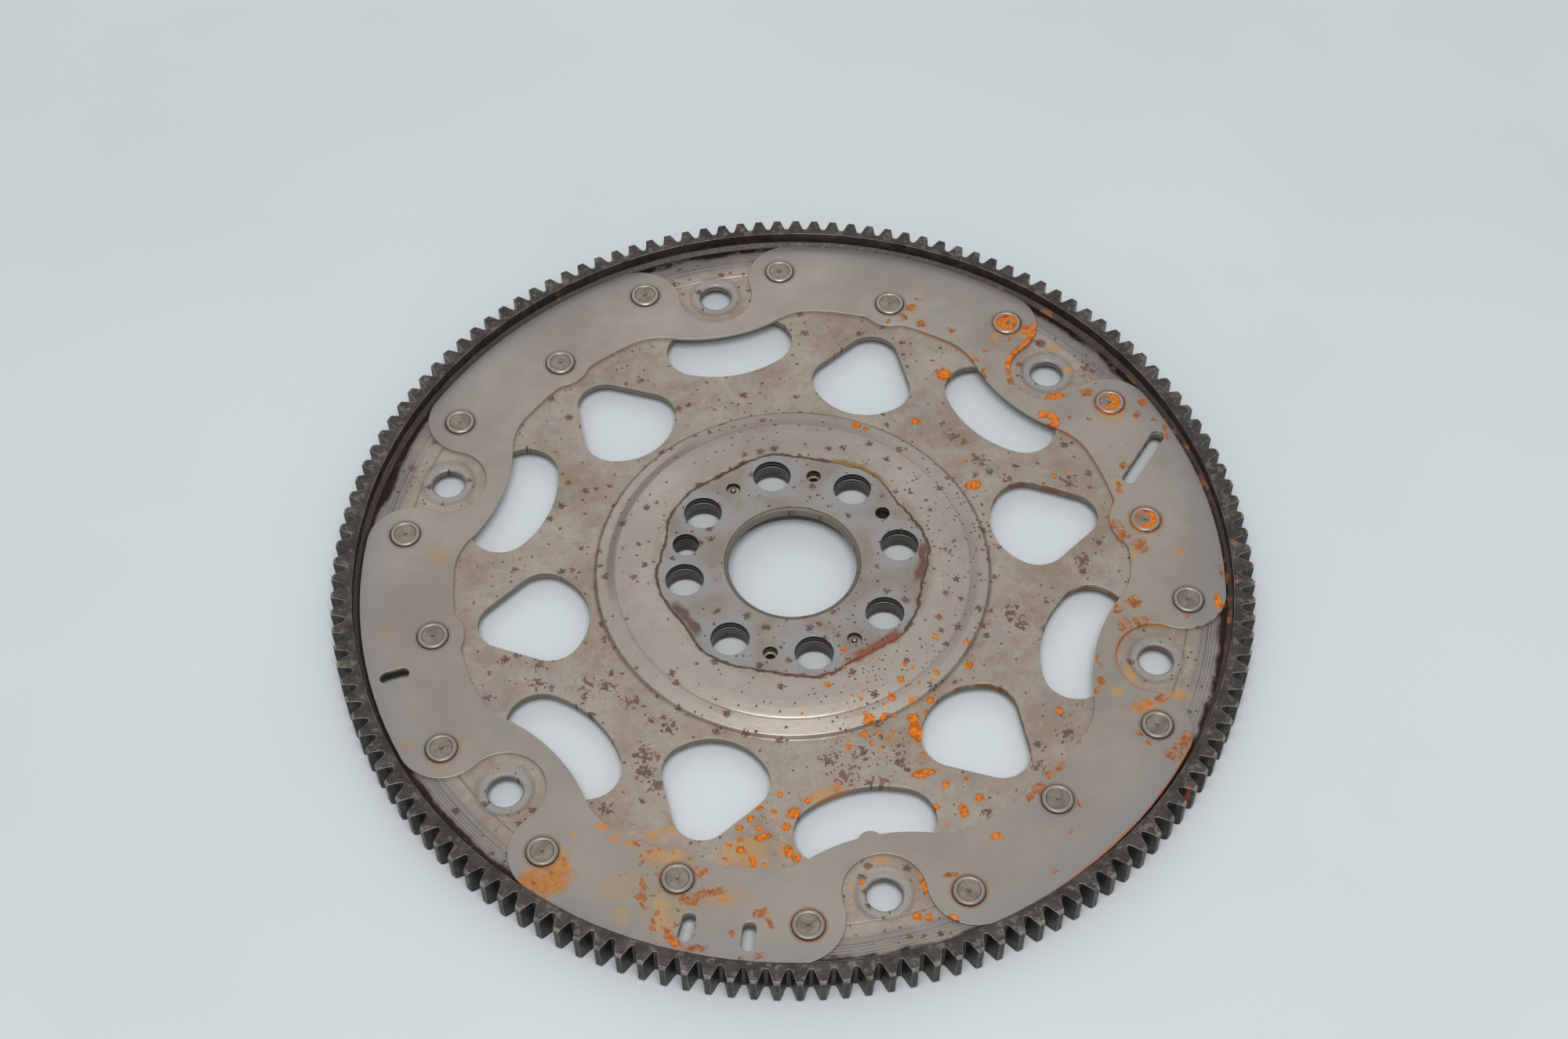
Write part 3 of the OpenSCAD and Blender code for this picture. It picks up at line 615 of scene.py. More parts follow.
# %% Material: drive disc, fresh rust
THIN_MARKS = [
    (24.9, -57.8, 2.3), (24.3, -61.2, 1.5, 1.3, 0.5), (2.2, -109.6, 2.2, 0.6, 1.2), (-8.7, -115.3, 1.6),
    (11.8, -117.9, 2.2, 1.6, 0.6), (12.5, -122.2, 1.6, 1.5, 0.6), (-25.6, -99.8, 3.2), (-22.9, -92.0, 1.6),
    (-38.0, -98.0, 8.0, 0.8, 1.2), (-60.0, -86.0, 4.0, 0.5, 1.4), (-8.0, -84.5, 5.0, 0.6, 1.4),
    (112.0, 60.0, 2.2), (110.1, 70.6, 2.4, 0.7, 1.3), (94.8, -63.8, 3.4, 1.2, 0.8), (106.0, -74.9, 4.2, 0.6, 1.4),
]
FRESH_MARKS = [
    (23.4, -68.8, 2.9, 1.3, 0.72), (23.9, -64.2, 1.9), (24.9, -58.4, 0.9), (34.4, 51.6, 1.6), (37.0, 49.5, 1.1),
    (54.9, 49.8, 1.5), (66.5, 19.2, 2.3, 0.75, 1.2), (30.7, -58.4, 1.3), (46.0, -49.0, 1.4), (34.9, -50.2, 1.0),
    (37.9, -38.2, 1.1), (10.1, -61.8, 1.7), (7.5, -66.1, 1.2), (23.0, -51.0, 1.3), (18.8, -56.2, 1.3),
    (69.0, -71.6, 1.3), (27.5, -88.7, 1.2), (36.4, -95.8, 1.4), (0.1, -48.0, 1.1), (47.2, -41.3, 0.9),
    (-25.8, -86.1, 0.9), (-31.6, -90.7, 1.0), (-23.4, -92.0, 1.4), (-37.9, -93.5, 1.0), (-41.7, -94.6, 0.9),
    (21.9, -83.7, 2.4, 0.6, 1.5), (30.3, -99.0, 2.0, 1.3, 0.8), (-19.9, -88.0, 2.1), (-14.9, -84.9, 1.2),
    (-31.0, -93.9, 1.7, 0.6, 1.3), (-24.6, -100.4, 1.8, 1.2, 0.8), (-22.9, -103.0, 1.5), (-33.2, -87.0, 1.2),
    (-37.4, -89.2, 1.1), (-38.8, -96.7, 1.4), (-35.9, -100.5, 1.2), (-35.9, -102.3, 1.0), (-22.9, -80.9, 1.0),
    (-29.7, -84.1, 1.1), (69.5, 67.7, 2.6), (104.0, 49.3, 2.6, 0.7, 1.5), (7.6, -130.0, 1.4), (10.7, -131.1, 1.2),
    (-5.4, -115.2, 0.9), (12.2, -121.0, 1.3, 1.6, 0.5),
]
BROWN_MARKS = [(-2.6, -110.6, 1.5), (106.3, 73.3, 2.0)]

ragged = use(tree, shaken, Place=flat, Reach=2.0 * MM, Grain=700.0)["Place"]
thin = ramp(tree, stains(tree, ragged, THIN_MARKS), 0.0, 0.5, 0.0, 0.75)
thin = times(tree, thin, worn["Upper"], ramp(tree, wander, 0.3, 0.55, 0.35, 1.0))
fields = stains(tree, flat, [(28, -66, 52), (92, 30, 36), (-30, -96, 20)])
drops = use(tree, spots, Place=ragged, Spacing=6.6 * MM, Share=ramp(tree, fields, 0.0, 0.5, 0.0, 0.22),
            Size=1.3 * MM, Broken=0.6, Seed=0.71)
spray = stains(tree, flat, [(-32, -95, 17), (20, -60, 26), (-6, -86, 14)])
flecks = use(tree, spots, Place=ragged, Spacing=2.4 * MM, Share=ramp(tree, spray, 0.0, 0.6, 0.0, 0.45),
             Size=0.75 * MM, Broken=1.0, Seed=0.13)
poured = stains(tree, ragged, FRESH_MARKS)
depth = calc(tree, "MAXIMUM", poured, calc(tree, "MAXIMUM", drops["Depth"], flecks["Depth"]))
halo = times(tree, worn["Upper"], ramp(tree, poured, -0.55, 0.0, 0.0, 0.4))
tone = blend(tree, calc(tree, "MAXIMUM", thin, halo), tone, THIN_RUST)
fresh = times(tree, worn["Upper"], ramp(tree, depth, 0.02, 0.16))
tone = blend(tree, fresh, tone, fresh_colour(tree, depth, cloud["Grain"]))
brown = ramp(tree, stains(tree, ragged, BROWN_MARKS), 0.0, 0.3, 0.0, 0.85)
tone = blend(tree, brown, tone, BROWN_RUST)
print("added", len(FRESH_MARKS), "fresh drops and", len(THIN_MARKS), "thin stains")

# %% [markdown]
# ## The drive disc: shine and relief
# Rust is no metal: it takes away the metallic shine and makes the surface rough, and it stands a little proud.
# A low specular level keeps the orange strong, since a white sheen over rust would turn it pink.

# %% Material: drive disc, shine and relief
RUST_SHEEN = 0.15

rust = calc(tree, "MAXIMUM", calc(tree, "MAXIMUM", times(tree, old, 0.8), thin), calc(tree, "MAXIMUM", fresh, brown))
metal = times(tree, ramp(tree, rust, 0.1, 0.8, 0.6, 0.0), ramp(tree, worn["Wall"], 0.0, 1.0, 1.0, 0.3))
matt = ramp(tree, cloud["Cloud"], 0.3, 0.7, 0.4, 0.54)
matt = calc(tree, "MULTIPLY_ADD", band(tree, radius, 48, 52, 63, 64), -0.07, matt)
relief = {"Strength": 0.25, "Distance": 0.15 * MM, "Normal": worn["Normal"],
          "Height": calc(tree, "MULTIPLY_ADD", rust, 1.2, cloud["Grain"])}
finish_material(
    tree, shader,
    Base_Color=tone,
    Metallic=metal,
    Specular_IOR_Level=RUST_SHEEN,
    Roughness=calc(tree, "MULTIPLY_ADD", rust, 0.3, matt),
    Normal=add(tree, "ShaderNodeBump", relief).outputs[0],
)
print("finished material", disc.name)

# %% [markdown]
# ## The cover ring: bare sheet
# The thin ring is cold rolled and stayed smoother than the disc. It shows the same taupe with less grain, a cool
# sheen towards its rim, and pale cut walls and edges, bare steel with a painted highlight. Its corners are darkened
# with painted shade and dirt.

# %% Material: cover ring, bare sheet
cover, tree, shader, place = start_material("cover_steel")
where = use(tree, polar, Place=place)
flat, radius, angle = where["Flat"], where["Radius"], where["Angle"]
cloud = use(tree, mottle, Place=flat, Broad=20.0, Fine=500.0)
drift = noise(tree, flat, 60, 3)[0]
wander = noise(tree, flat, 230, 3, 0.6)[0]
worn = use(tree, edges, Width=0.25 * MM, Corner=1.6 * MM)
tone = blend(tree, ramp(tree, cloud["Cloud"], 0.35, 0.65), colour(158, 150, 140), colour(143, 134, 124))
tone = blend(tree, ramp(tree, radius, 126 * MM, 140 * MM, 0.0, 0.6), tone, colour(140, 138, 140))
tone = blend(tree, ramp(tree, drift, 0.52, 0.7, 0.0, 0.45), tone, colour(136, 134, 134))
# Painted shade, with some dirt, darkens the corners.
tone = blend(tree, times(tree, worn["Dirt"], 0.4), tone, colour(70, 60, 52))
# The cut walls and edges are painted pale: bare steel with a painted highlight.
tone = blend(tree, times(tree, worn["Wall"], 0.8), tone, colour(186, 180, 170))
tone = blend(tree, times(tree, worn["Edge"], 0.55), tone, colour(200, 194, 185))
print("made material", cover.name, "with bare sheet")

# %% [markdown]
# ## The cover ring: soft stains
# Water that stood round the rivets left soft yellow-brown stains. There are three kinds: soft ones in two browns,
# faint washes, and deep amber ones. The place is shaken twice, broadly and finely, for a torn outline.

# %% Material: cover ring, soft stains
SOFT_MARKS = [
    (-98.5, -94.0, 9.0, 0.8, 1.1), (-96.5, -92.5, 6.0), (-91.5, -88.5, 4.0, 1.6, 0.55), (-92.1, -80.9, 1.8),
    (-87.2, -80.4, 1.6), (-60.7, -93.2, 6.5, 0.7, 1.3), (-77.8, -110.6, 5.0), (-65.4, -109.4, 4.0, 1.2, 0.8),
    (-70.3, -87.8, 2.0, 0.6, 1.4), (-74.7, -84.6, 2.2, 0.7, 1.3), (-77.2, -79.6, 2.4, 0.6, 1.4),
    (-67.5, -90.8, 1.8), (-66.5, -116.0, 4.6), (-46.0, -112.0, 4.0, 0.5, 1.4), (101.5, 79.0, 4.5),
    (91.7, 79.6, 3.2), (66.0, 98.0, 3.0), (67.6, 91.1, 2.4), (79.9, 71.4, 2.6, 0.6, 1.4), (114.4, 48.1, 2.2),
    (-107.0, 55.0, 2.6, 1.8, 0.8), (117.5, -8.6, 7.5), (120.0, 38.6, 7.0), (94.5, -76.4, 4.2, 0.8, 1.2),
    (113.3, 8.0, 3.4, 1.4, 0.6), (109.3, -20.4, 2.6), (88.0, -70.0, 3.0), (125.1, -22.9, 2.0),
]
FAINT_MARKS = [
    (-133.0, 3.6, 5.0), (-122.7, -47.0, 6.0, 0.8, 1.2), (-131.4, -38.4, 4.0), (-115.7, -42.0, 3.0),
    (-112.0, 30.0, 6.0), (-65.0, -113.0, 12.0, 1.1, 0.9), (-76.0, -101.0, 8.0, 0.8, 1.2), (-58.0, -96.0, 10.0),
]
DEEP_MARKS = [(-98.0, -94.2, 9.0, 0.75, 1.35), (-93.0, -91.0, 6.0, 1.2, 0.8), (94.8, -76.8, 5.0, 0.8, 1.3)]

ragged = use(tree, shaken, Place=flat, Reach=5.0 * MM, Grain=260.0)["Place"]
ragged = use(tree, shaken, Place=ragged, Reach=1.6 * MM, Grain=1300.0)["Place"]
soft = ramp(tree, stains(tree, ragged, SOFT_MARKS), 0.0, 0.6, 0.0, 0.85)
soft = times(tree, soft, ramp(tree, wander, 0.32, 0.58, 0.3, 1.0))
yellow = blend(tree, ramp(tree, drift, 0.4, 0.6), colour(168, 110, 52), colour(150, 124, 80))
tone = blend(tree, soft, tone, yellow)
faint = ramp(tree, stains(tree, ragged, FAINT_MARKS), 0.0, 0.9, 0.0, 0.4)
tone = blend(tree, faint, tone, colour(172, 136, 92))
deep = ramp(tree, stains(tree, ragged, DEEP_MARKS), 0.0, 0.6, 0.0, 0.8)
deep = times(tree, deep, ramp(tree, wander, 0.3, 0.5, 0.5, 1.0))
amber = blend(tree, ramp(tree, cloud["Grain"], 0.35, 0.6), colour(176, 114, 50), colour(154, 100, 50))
tone = blend(tree, deep, tone, amber)
print("added", len(SOFT_MARKS) + len(FAINT_MARKS) + len(DEEP_MARKS), "stains to", cover.name)

# %% [markdown]
# ## The cover ring: where fresh rust lies
# Strokes of orange lie beside the rivets and slots, as a wet brush would leave them. Scattered drops fill in round
# them. All are gathered in one depth, which the next cells add to and then paint.

# %% Material: cover ring, strokes and drops
STROKES = [
    (107.8, -7.9, 2.6), (108.8, -12.4, 2.4), (112.7, -17.6, 3.0), (103.9, -38.7, 3.2), (98.5, -46.2, 2.8),
    (103.9, -46.3, 2.6), (97.8, -39.7, 2.2), (135.0, -33.6, 2.0, 1.6, 0.7), (130.7, -45.0, 2.8, 1.5, 0.6),
    (84.8, -64.8, 2.0), (82.5, -67.7, 1.6), (86.3, -57.5, 1.8, 1.6, 0.6), (117.8, 15.4, 1.6),
    (113.3, 6.5, 1.6, 1.4, 0.6), (101.4, -75.6, 2.0), (98.4, -95.4, 3.0), (102.5, -92.2, 2.6), (104.8, -89.8, 2.0),
    (59.0, -93.0, 2.6), (63.0, -91.4, 1.8), (54.6, -97.9, 2.8), (51.0, -99.8, 1.6), (64.3, -105.2, 1.5, 1.6, 0.7),
    (37.6, -110.4, 1.7), (59.6, -114.0, 1.1), (50.7, -125.4, 1.2), (128.8, 35.2, 1.8), (132.5, 39.9, 2.4),
    (114.3, 47.5, 2.4), (65.7, 98.6, 2.2), (69.3, 102.0, 1.2), (61.6, 95.4, 1.6), (56.6, 94.5, 1.4),
    (120.6, -53.6, 1.6, 0.8, 1.4), (125.2, -52.7, 1.4), (129.4, -50.2, 1.6), (118.7, -47.2, 1.4),
    (74.4, -81.0, 1.3), (71.5, -83.6, 1.5), (90.5, -86.1, 1.3), (91.9, -89.3, 1.3), (20.3, -119.2, 1.6, 0.6, 1.4),
    (67.3, 90.5, 1.8), (77.1, 85.4, 1.4), (86.6, 73.6, 1.4), (82.9, 64.2, 2.0, 1.4, 0.7),
    (98.5, 41.9, 2.8, 0.8, 1.2), (100.8, 38.4, 2.4, 1.2, 0.7), (-56.9, -109.7, 2.6, 0.7, 1.3),
    (-51.0, -109.3, 2.6, 0.4, 1.8), (-52.0, -101.4, 2.0, 0.8, 1.2), (-62.0, -89.8, 1.2),
    (-69.6, -102.9, 2.6, 2.6, 0.5), (-70.8, -107.5, 2.2, 2.6, 0.5), (-69.5, -117.2, 1.2), (-68.8, -113.8, 1.2),
    (-65.2, -120.0, 2.0, 1.4, 0.6), (-63.8, -123.5, 1.8), (-59.1, -125.6, 2.4, 0.5, 1.8),
    (-37.9, -119.0, 1.8, 0.6, 1.2), (-35.4, -122.6, 2.0, 1.5, 0.6), (-47.3, -123.3, 1.2), (-45.6, -132.4, 1.3),
    (-40.5, -132.6, 1.6, 0.6, 1.4), (102.6, 79.4, 2.2), (80.5, 70.2, 1.6, 0.5, 1.6), (15.2, -132.7, 1.2),
    (17.8, -133.3, 1.5), (18.8, -136.4, 1.5), (136.0, 25.0, 2.2, 2.0, 0.5),
]

fields = stains(tree, flat, [(-60, -106, 30), (118, 24, 50), (122, -58, 30)])
drops = use(tree, spots, Place=ragged, Spacing=7.0 * MM, Share=ramp(tree, fields, 0.0, 0.5, 0.0, 0.2),
            Size=1.3 * MM, Broken=0.8, Seed=0.53)
depth = calc(tree, "MAXIMUM", stains(tree, ragged, STROKES), drops["Depth"])
print("placed", len(STROKES), "strokes of fresh rust")

# %% [markdown]
# ## The cover ring: a run along the bay
# Round each converter hole the cover ring has a bay, an arc about the hole, that swings over into the round lobe
# beside it. On the upper right a drop ran along that edge. The distance to the edge is the distance to the
# arc or to the lobe, whichever side of a line the place is on.

# %% Material: cover ring, run along the bay
BAY, BAY_RADIUS = (104.4 * MM, 60.3 * MM, 0.0), 12.87 * MM
LOBE, LOBE_RADIUS = (92.9 * MM, 85.1 * MM, 0.0), 14.5 * MM
OUTWARDS, CHANGE_OVER = (0.9074, 0.4208, 0.0), 120.1 * MM

from_hole = calc(tree, "SUBTRACT", vector(tree, "DISTANCE", flat, BAY)["Value"], BAY_RADIUS)
from_lobe = calc(tree, "SUBTRACT", LOBE_RADIUS, vector(tree, "DISTANCE", flat, LOBE)["Value"])
outer = vector(tree, "DOT_PRODUCT", flat, OUTWARDS)["Value"]
step = calc(tree, "SUBTRACT", from_lobe, from_hole)
from_edge = calc(tree, "MULTIPLY_ADD", calc(tree, "GREATER_THAN", outer, CHANGE_OVER), step, from_hole)
from_edge = calc(tree, "MULTIPLY_ADD", wander, 2.6 * MM, from_edge)
run = stains(tree, flat, [(103.0, 78.0, 7.0), (98.5, 73.0, 7.0), (92.8, 67.0, 6.0), (91.8, 61.0, 5.0)])
run = times(tree, ramp(tree, run, 0.0, 0.4), ramp(tree, from_edge, 3.6 * MM, 2.4 * MM))
depth = calc(tree, "MAXIMUM", depth, times(tree, run, 0.55))
print("let a drop run round the bay of", round(BAY_RADIUS / MM, 2), "mm")

# %% [markdown]
# ## The cover ring: painting the fresh rust
# A spray of flecks joins the depth. Most of the fresh rust is only a smear, torn into shreds by a noise so that
# steel shows through. In a few places it is thick, and there it gets the bright colour of a full drop.

# %% Material: cover ring, fresh rust
SPRAYED = [(-60, -101, 17), (-66, -119, 13), (-98, -91, 9), (94, 82, 9), (118, -12, 8)]
THICK = [(-63, -122, 4), (99, 72, 16), (100, 40, 6), (16.5, -134, 5), (37.6, -110.4, 4), (131, -45, 4)]

spray = ramp(tree, stains(tree, flat, SPRAYED), 0.0, 0.6, 0.0, 0.6)
flecks = use(tree, spots, Place=ragged, Spacing=2.3 * MM, Share=spray, Size=1.1 * MM, Broken=2.4, Grain=1100.0,
             Seed=0.29)
depth = calc(tree, "MAXIMUM", depth, times(tree, flecks["Mask"], 0.22))
shreds = ramp(tree, noise(tree, flat, 420, 4, 0.7)[0], 0.38, 0.54, 0.3, 0.95)
strong = ramp(tree, stains(tree, flat, THICK), 0.0, 0.4, 0.0, 0.95)
fresh = times(tree, ramp(tree, depth, 0.02, 0.22), calc(tree, "MAXIMUM", shreds, strong))
smear = blend(tree, ramp(tree, cloud["Grain"], 0.4, 0.6), colour(156, 88, 38), colour(122, 72, 38))
tone = blend(tree, fresh, tone, blend(tree, strong, smear, fresh_colour(tree, depth, cloud["Grain"])))
print("painted the fresh rust, thick in", len(THICK), "places")

# %% [markdown]
# ## The cover ring: rings round the rivets
# The squeezed rivet head leaves a gap round itself, drawn as a dark line of painted shade, and a fainter line of
# painted shade marks the rim of the pressed ring. Water creeps into that gap and leaves a thin ring of rust, orange
# at four wet rivets and brown at some of the others.

# %% Material: cover ring, rings round the rivets
WET_RIVETS = [(24.5, -125.9, 9), (-24.5, -125.9, 9), (117.8, -8.2, 9), (120.8, 41.0, 9)]

rivet = use(tree, rivets, Radius=radius, Angle=angle)["Distance"]
wet = ramp(tree, stains(tree, flat, WET_RIVETS), 0.1, 0.3)
ring = line(tree, calc(tree, "MULTIPLY_ADD", wander, 0.8 * MM, rivet), 5.75, 0.45, 0.6)
ring = times(tree, ring, calc(tree, "MAXIMUM", wet, ramp(tree, noise(tree, flat, 55, 2)[0], 0.5, 0.62)))
# Painted shade: a faint dark line at the rim of the pressed ring.
tone = blend(tree, line(tree, rivet, 5.8, 0.25, 0.4), tone, colour(96, 86, 77))
tone = blend(tree, ring, tone, blend(tree, wet, colour(140, 98, 66), colour(184, 102, 42)))
# Painted shade: a dark line where the head meets the cover.
tone = blend(tree, line(tree, rivet, 5.15, 0.32, 0.75), tone, colour(68, 59, 52))
print("ringed the rivets,", len(WET_RIVETS), "of them in orange")

# %% [markdown]
# ## The cover ring: rusty edges, shine and relief
# The cut edge has no oil film left, so it rusts first: along the inner edge on the right, along the lower right of
# the rim and round one bay. The shine follows the rust, as on the disc.

# %% Material: cover ring, rusty edges, shine and relief
LOWER_BAY = (104.4 * MM, -60.3 * MM, 0.0)

inner = ramp(tree, stains(tree, flat, [(104, 12, 46), (92, -50, 28)]), 0.0, 0.3)
lip = times(tree, worn["Edge"], inner, ramp(tree, drift, 0.42, 0.55))
rim = ramp(tree, stains(tree, flat, [(84, -113, 40)]), 0.0, 0.3)
rim = times(tree, ramp(tree, radius, 139.6 * MM, 140.1 * MM), rim)
lip = calc(tree, "MAXIMUM", lip, times(tree, rim, ramp(tree, drift, 0.35, 0.5, 0.3, 1.0)))
bay = calc(tree, "SUBTRACT", vector(tree, "DISTANCE", flat, LOWER_BAY)["Value"], BAY_RADIUS)
bay = line(tree, calc(tree, "MULTIPLY_ADD", wander, 0.8 * MM, bay), 0.6, 0.8)
bay = times(tree, bay, ramp(tree, drift, 0.44, 0.54), 0.4)
lip = calc(tree, "MAXIMUM", lip, bay)
tone = blend(tree, times(tree, lip, 0.85), tone, colour(178, 100, 44))

rust = calc(tree, "MAXIMUM", fresh, times(tree, calc(tree, "MAXIMUM", soft, deep), 0.7))
relief = {"Strength": 0.12, "Distance": 0.1 * MM, "Normal": worn["Normal"], "Height": cloud["Grain"]}
finish_material(
    tree, shader,
    Base_Color=tone,
    Metallic=ramp(tree, rust, 0.1, 0.6, 0.68, 0.0),
    Specular_IOR_Level=RUST_SHEEN,
    Roughness=calc(tree, "MULTIPLY_ADD", rust, 0.3, ramp(tree, cloud["Cloud"], 0.3, 0.7, 0.36, 0.46)),
    Normal=add(tree, "ShaderNodeBump", relief).outputs[0],
)
print("finished material", cover.name)

# %% [markdown]
# ## The ring gear: scale
# The ring was hardened, so it carries a brown-black scale, mottled where it flaked. Inside, along the weld, the
# scale turned to dark red-brown rust. The height is shaken with a noise, so the rust has no straight upper border.

# %% Material: ring gear, scale
INNER_FULL, INNER_END = 142.6 * MM, 143.2 * MM

gear, tree, shader, place = start_material("gear_steel")
where = use(tree, polar, Place=place)
flat, radius, height = where["Flat"], where["Radius"], where["Height"]
cloud = use(tree, mottle, Place=place, Broad=150.0, Fine=1100.0)
patches = noise(tree, place, 380, 3, 0.6)[0]
worn = use(tree, edges, Width=0.35 * MM, Corner=3.0 * MM)
tone = blend(tree, ramp(tree, cloud["Cloud"], 0.35, 0.65), colour(48, 44, 41), colour(70, 63, 57))
tone = blend(tree, ramp(tree, patches, 0.52, 0.66, 0.0, 0.7), tone, colour(110, 103, 94))
tone = blend(tree, ramp(tree, patches, 0.42, 0.3, 0.0, 0.7), tone, colour(34, 29, 26))
inner = ramp(tree, radius, INNER_END, INNER_FULL)
burnt = blend(tree, ramp(tree, cloud["Cloud"], 0.4, 0.6), colour(38, 32, 29), colour(56, 42, 36))
tone = blend(tree, times(tree, inner, 0.7), tone, burnt)
foot = calc(tree, "MULTIPLY_ADD", cloud["Cloud"], 4.0 * MM, height)
foot = times(tree, ramp(tree, foot, 10.0 * MM, 8.6 * MM), inner)
tone = blend(tree, times(tree, foot, ramp(tree, patches, 0.35, 0.6, 0.5, 0.95)), tone, colour(50, 33, 28))
print("made material", gear.name, "with scale")

# %% [markdown]
# ## The ring gear: worn teeth
# The starter pinion slides in and rubs the teeth. It keeps their flanks smooth and dark and their edges bright, and
# the bright edges also carry a painted highlight. The corners between the teeth are darkened with painted shade and
# dirt. The bevels on the tooth ends slope, so a mask on the slope of the face finds them, and they are painted
# light, a painted highlight.

# %% Material: ring gear, worn teeth
TOOTH_FOOT, BEVEL_FOOT = 144.0 * MM, 146 * MM

flank = times(tree, worn["Wall"], ramp(tree, radius, TOOTH_FOOT, TOOTH_FOOT + 0.6 * MM))
tone = blend(tree, times(tree, flank, 0.5), tone, colour(46, 45, 46))
# Painted shade, with some dirt: the corners between the teeth are darkened.
tone = blend(tree, times(tree, worn["Dirt"], 0.45), tone, colour(24, 21, 19))
face = add(tree, "ShaderNodeNewGeometry").outputs["Normal"]
lift = add(tree, "ShaderNodeSeparateXYZ", {0: face}).outputs[2]
# The sloping bevel facets are painted light, a painted highlight.
facet = times(tree, ramp(tree, lift, 0.9, 0.8), ramp(tree, lift, 0.5, 0.6))
facet = times(tree, facet, ramp(tree, radius, BEVEL_FOOT, BEVEL_FOOT + 1.0 * MM))
facet = times(tree, facet, ramp(tree, patches, 0.35, 0.55, 0.35, 0.85))
tone = blend(tree, facet, tone, colour(136, 130, 121))
# The edges are rubbed bright and carry a painted highlight.
bright = times(tree, worn["Edge"], ramp(tree, cloud["Cloud"], 0.35, 0.6, 0.25, 0.9))
bright = times(tree, bright, calc(tree, "SUBTRACT", 1.0, foot))
tone = blend(tree, bright, tone, colour(176, 169, 160))
print("wore the teeth from", round(TOOTH_FOOT / MM, 1), "mm outwards")

# %% [markdown]
# ## The ring gear: orange rust, shine and relief
# On the right, water seeped along the weld, and flecks of orange stand on the scale. Scale is a thin oxide, so the
# gear is only partly metallic. The rubbed flanks are smoother and mirror the tent.

# %% Material: ring gear, rust, shine and relief
side = ramp(tree, stains(tree, flat, [(150, 10, 110)]), 0.0, 0.6, 0.02, 0.3)
side = times(tree, side, ramp(tree, noise(tree, place, 30, 1)[0], 0.42, 0.6))
right_side = ramp(tree, stains(tree, flat, [(150, 30, 120)]), 0.0, 0.3)
seep = times(tree, foot, right_side, ramp(tree, noise(tree, place, 130, 3, 0.6)[0], 0.54, 0.64, 0.0, 0.8))
tone = blend(tree, seep, tone, colour(138, 78, 38))
flecks = use(tree, spots, Place=place, Spacing=3.6 * MM, Share=side, Size=1.3 * MM, Broken=1.6, Grain=900.0,
             Seed=0.11)
orange = blend(tree, flecks["Tone"], BROWN_RUST, colour(168, 90, 36))
tone = blend(tree, times(tree, flecks["Mask"], 0.75), tone, orange)
relief = {"Strength": 0.4, "Distance": 0.25 * MM, "Normal": worn["Normal"], "Height": cloud["Grain"]}
finish_material(
    tree, shader,
    Base_Color=tone,
    Metallic=calc(tree, "MULTIPLY_ADD", flank, 0.3, ramp(tree, foot, 0.0, 0.6, 0.45, 0.0)),
    Roughness=calc(tree, "MULTIPLY_ADD", flank, -0.1, ramp(tree, cloud["Grain"], 0.3, 0.7, 0.4, 0.6)),
    Normal=add(tree, "ShaderNodeBump", relief).outputs[0],
)
print("finished material", gear.name)

# %% [markdown]
# ## The rivets: squeezed heads
# The rivet heads were squeezed by a polished tool, so their raised rims shine more than the sheet, while the floor
# of the dimple stayed dull. The distance to the nearest rivet draws every head at once: a bright rim with a painted
# highlight on its inner bevel, dark lines of painted shade at its foot and at the edge of the dimple, painted shade
# and dirt in its corners, and a small dark mark in the middle.

# %% Material: rivets, squeezed heads
rivet_head, tree, shader, place = start_material("rivet_steel")
where = use(tree, polar, Place=place)
flat = where["Flat"]
cloud = use(tree, mottle, Place=flat, Broad=260.0, Fine=1300.0)
worn = use(tree, edges, Width=0.3 * MM, Corner=1.5 * MM)
middle = use(tree, rivets, Radius=where["Radius"], Angle=where["Angle"])["Distance"]
bead = band(tree, middle, 3.5, 3.9, 4.75, 5.05)
tone = blend(tree, ramp(tree, cloud["Cloud"], 0.35, 0.65), colour(146, 135, 124), colour(122, 110, 100))
shine = times(tree, bead, ramp(tree, cloud["Grain"], 0.35, 0.6, 0.4, 0.9))
tone = blend(tree, shine, tone, colour(156, 149, 141))
# Painted highlight: a bright line on the inner bevel of the rim.
tone = blend(tree, line(tree, middle, 3.85, 0.3, 0.5), tone, colour(190, 184, 176))
# Painted shade: a dark line at the edge of the dimple.
tone = blend(tree, line(tree, middle, 3.55, 0.35, 0.4), tone, colour(70, 61, 54))
tone = blend(tree, line(tree, middle, 0.0, 0.9, 0.6), tone, colour(84, 66, 56))
# Painted shade, with some dirt, in the corners of the head.
tone = blend(tree, times(tree, worn["Dirt"], 0.6), tone, colour(56, 46, 40))
tone = blend(tree, times(tree, worn["Edge"], 0.3), tone, colour(190, 183, 175))
# Painted shade: a dark line at the foot of the head.
tone = blend(tree, line(tree, middle, 5.05, 0.3, 0.65), tone, colour(66, 57, 50))
print("made material", rivet_head.name)

# %% [markdown]
# ## The rivets: rust in three dimples
# Three rivets on the right hold orange rust in the dimple, with a bare spot in it. The others carry at most a thin
# brown ring. One material serves all eighteen, so a mask of three places picks out the rusty ones.

# %% Material: rivets, rust and shine
RUSTY_RIVETS = [(96.9, 83.6, 8.0), (120.8, 41.0, 8.0), (117.8, -8.6, 8.0)]
BARE_SPOTS = [(120.0, 42.6, 2.6), (117.0, -7.8, 2.8), (97.2, 84.0, 1.2)]

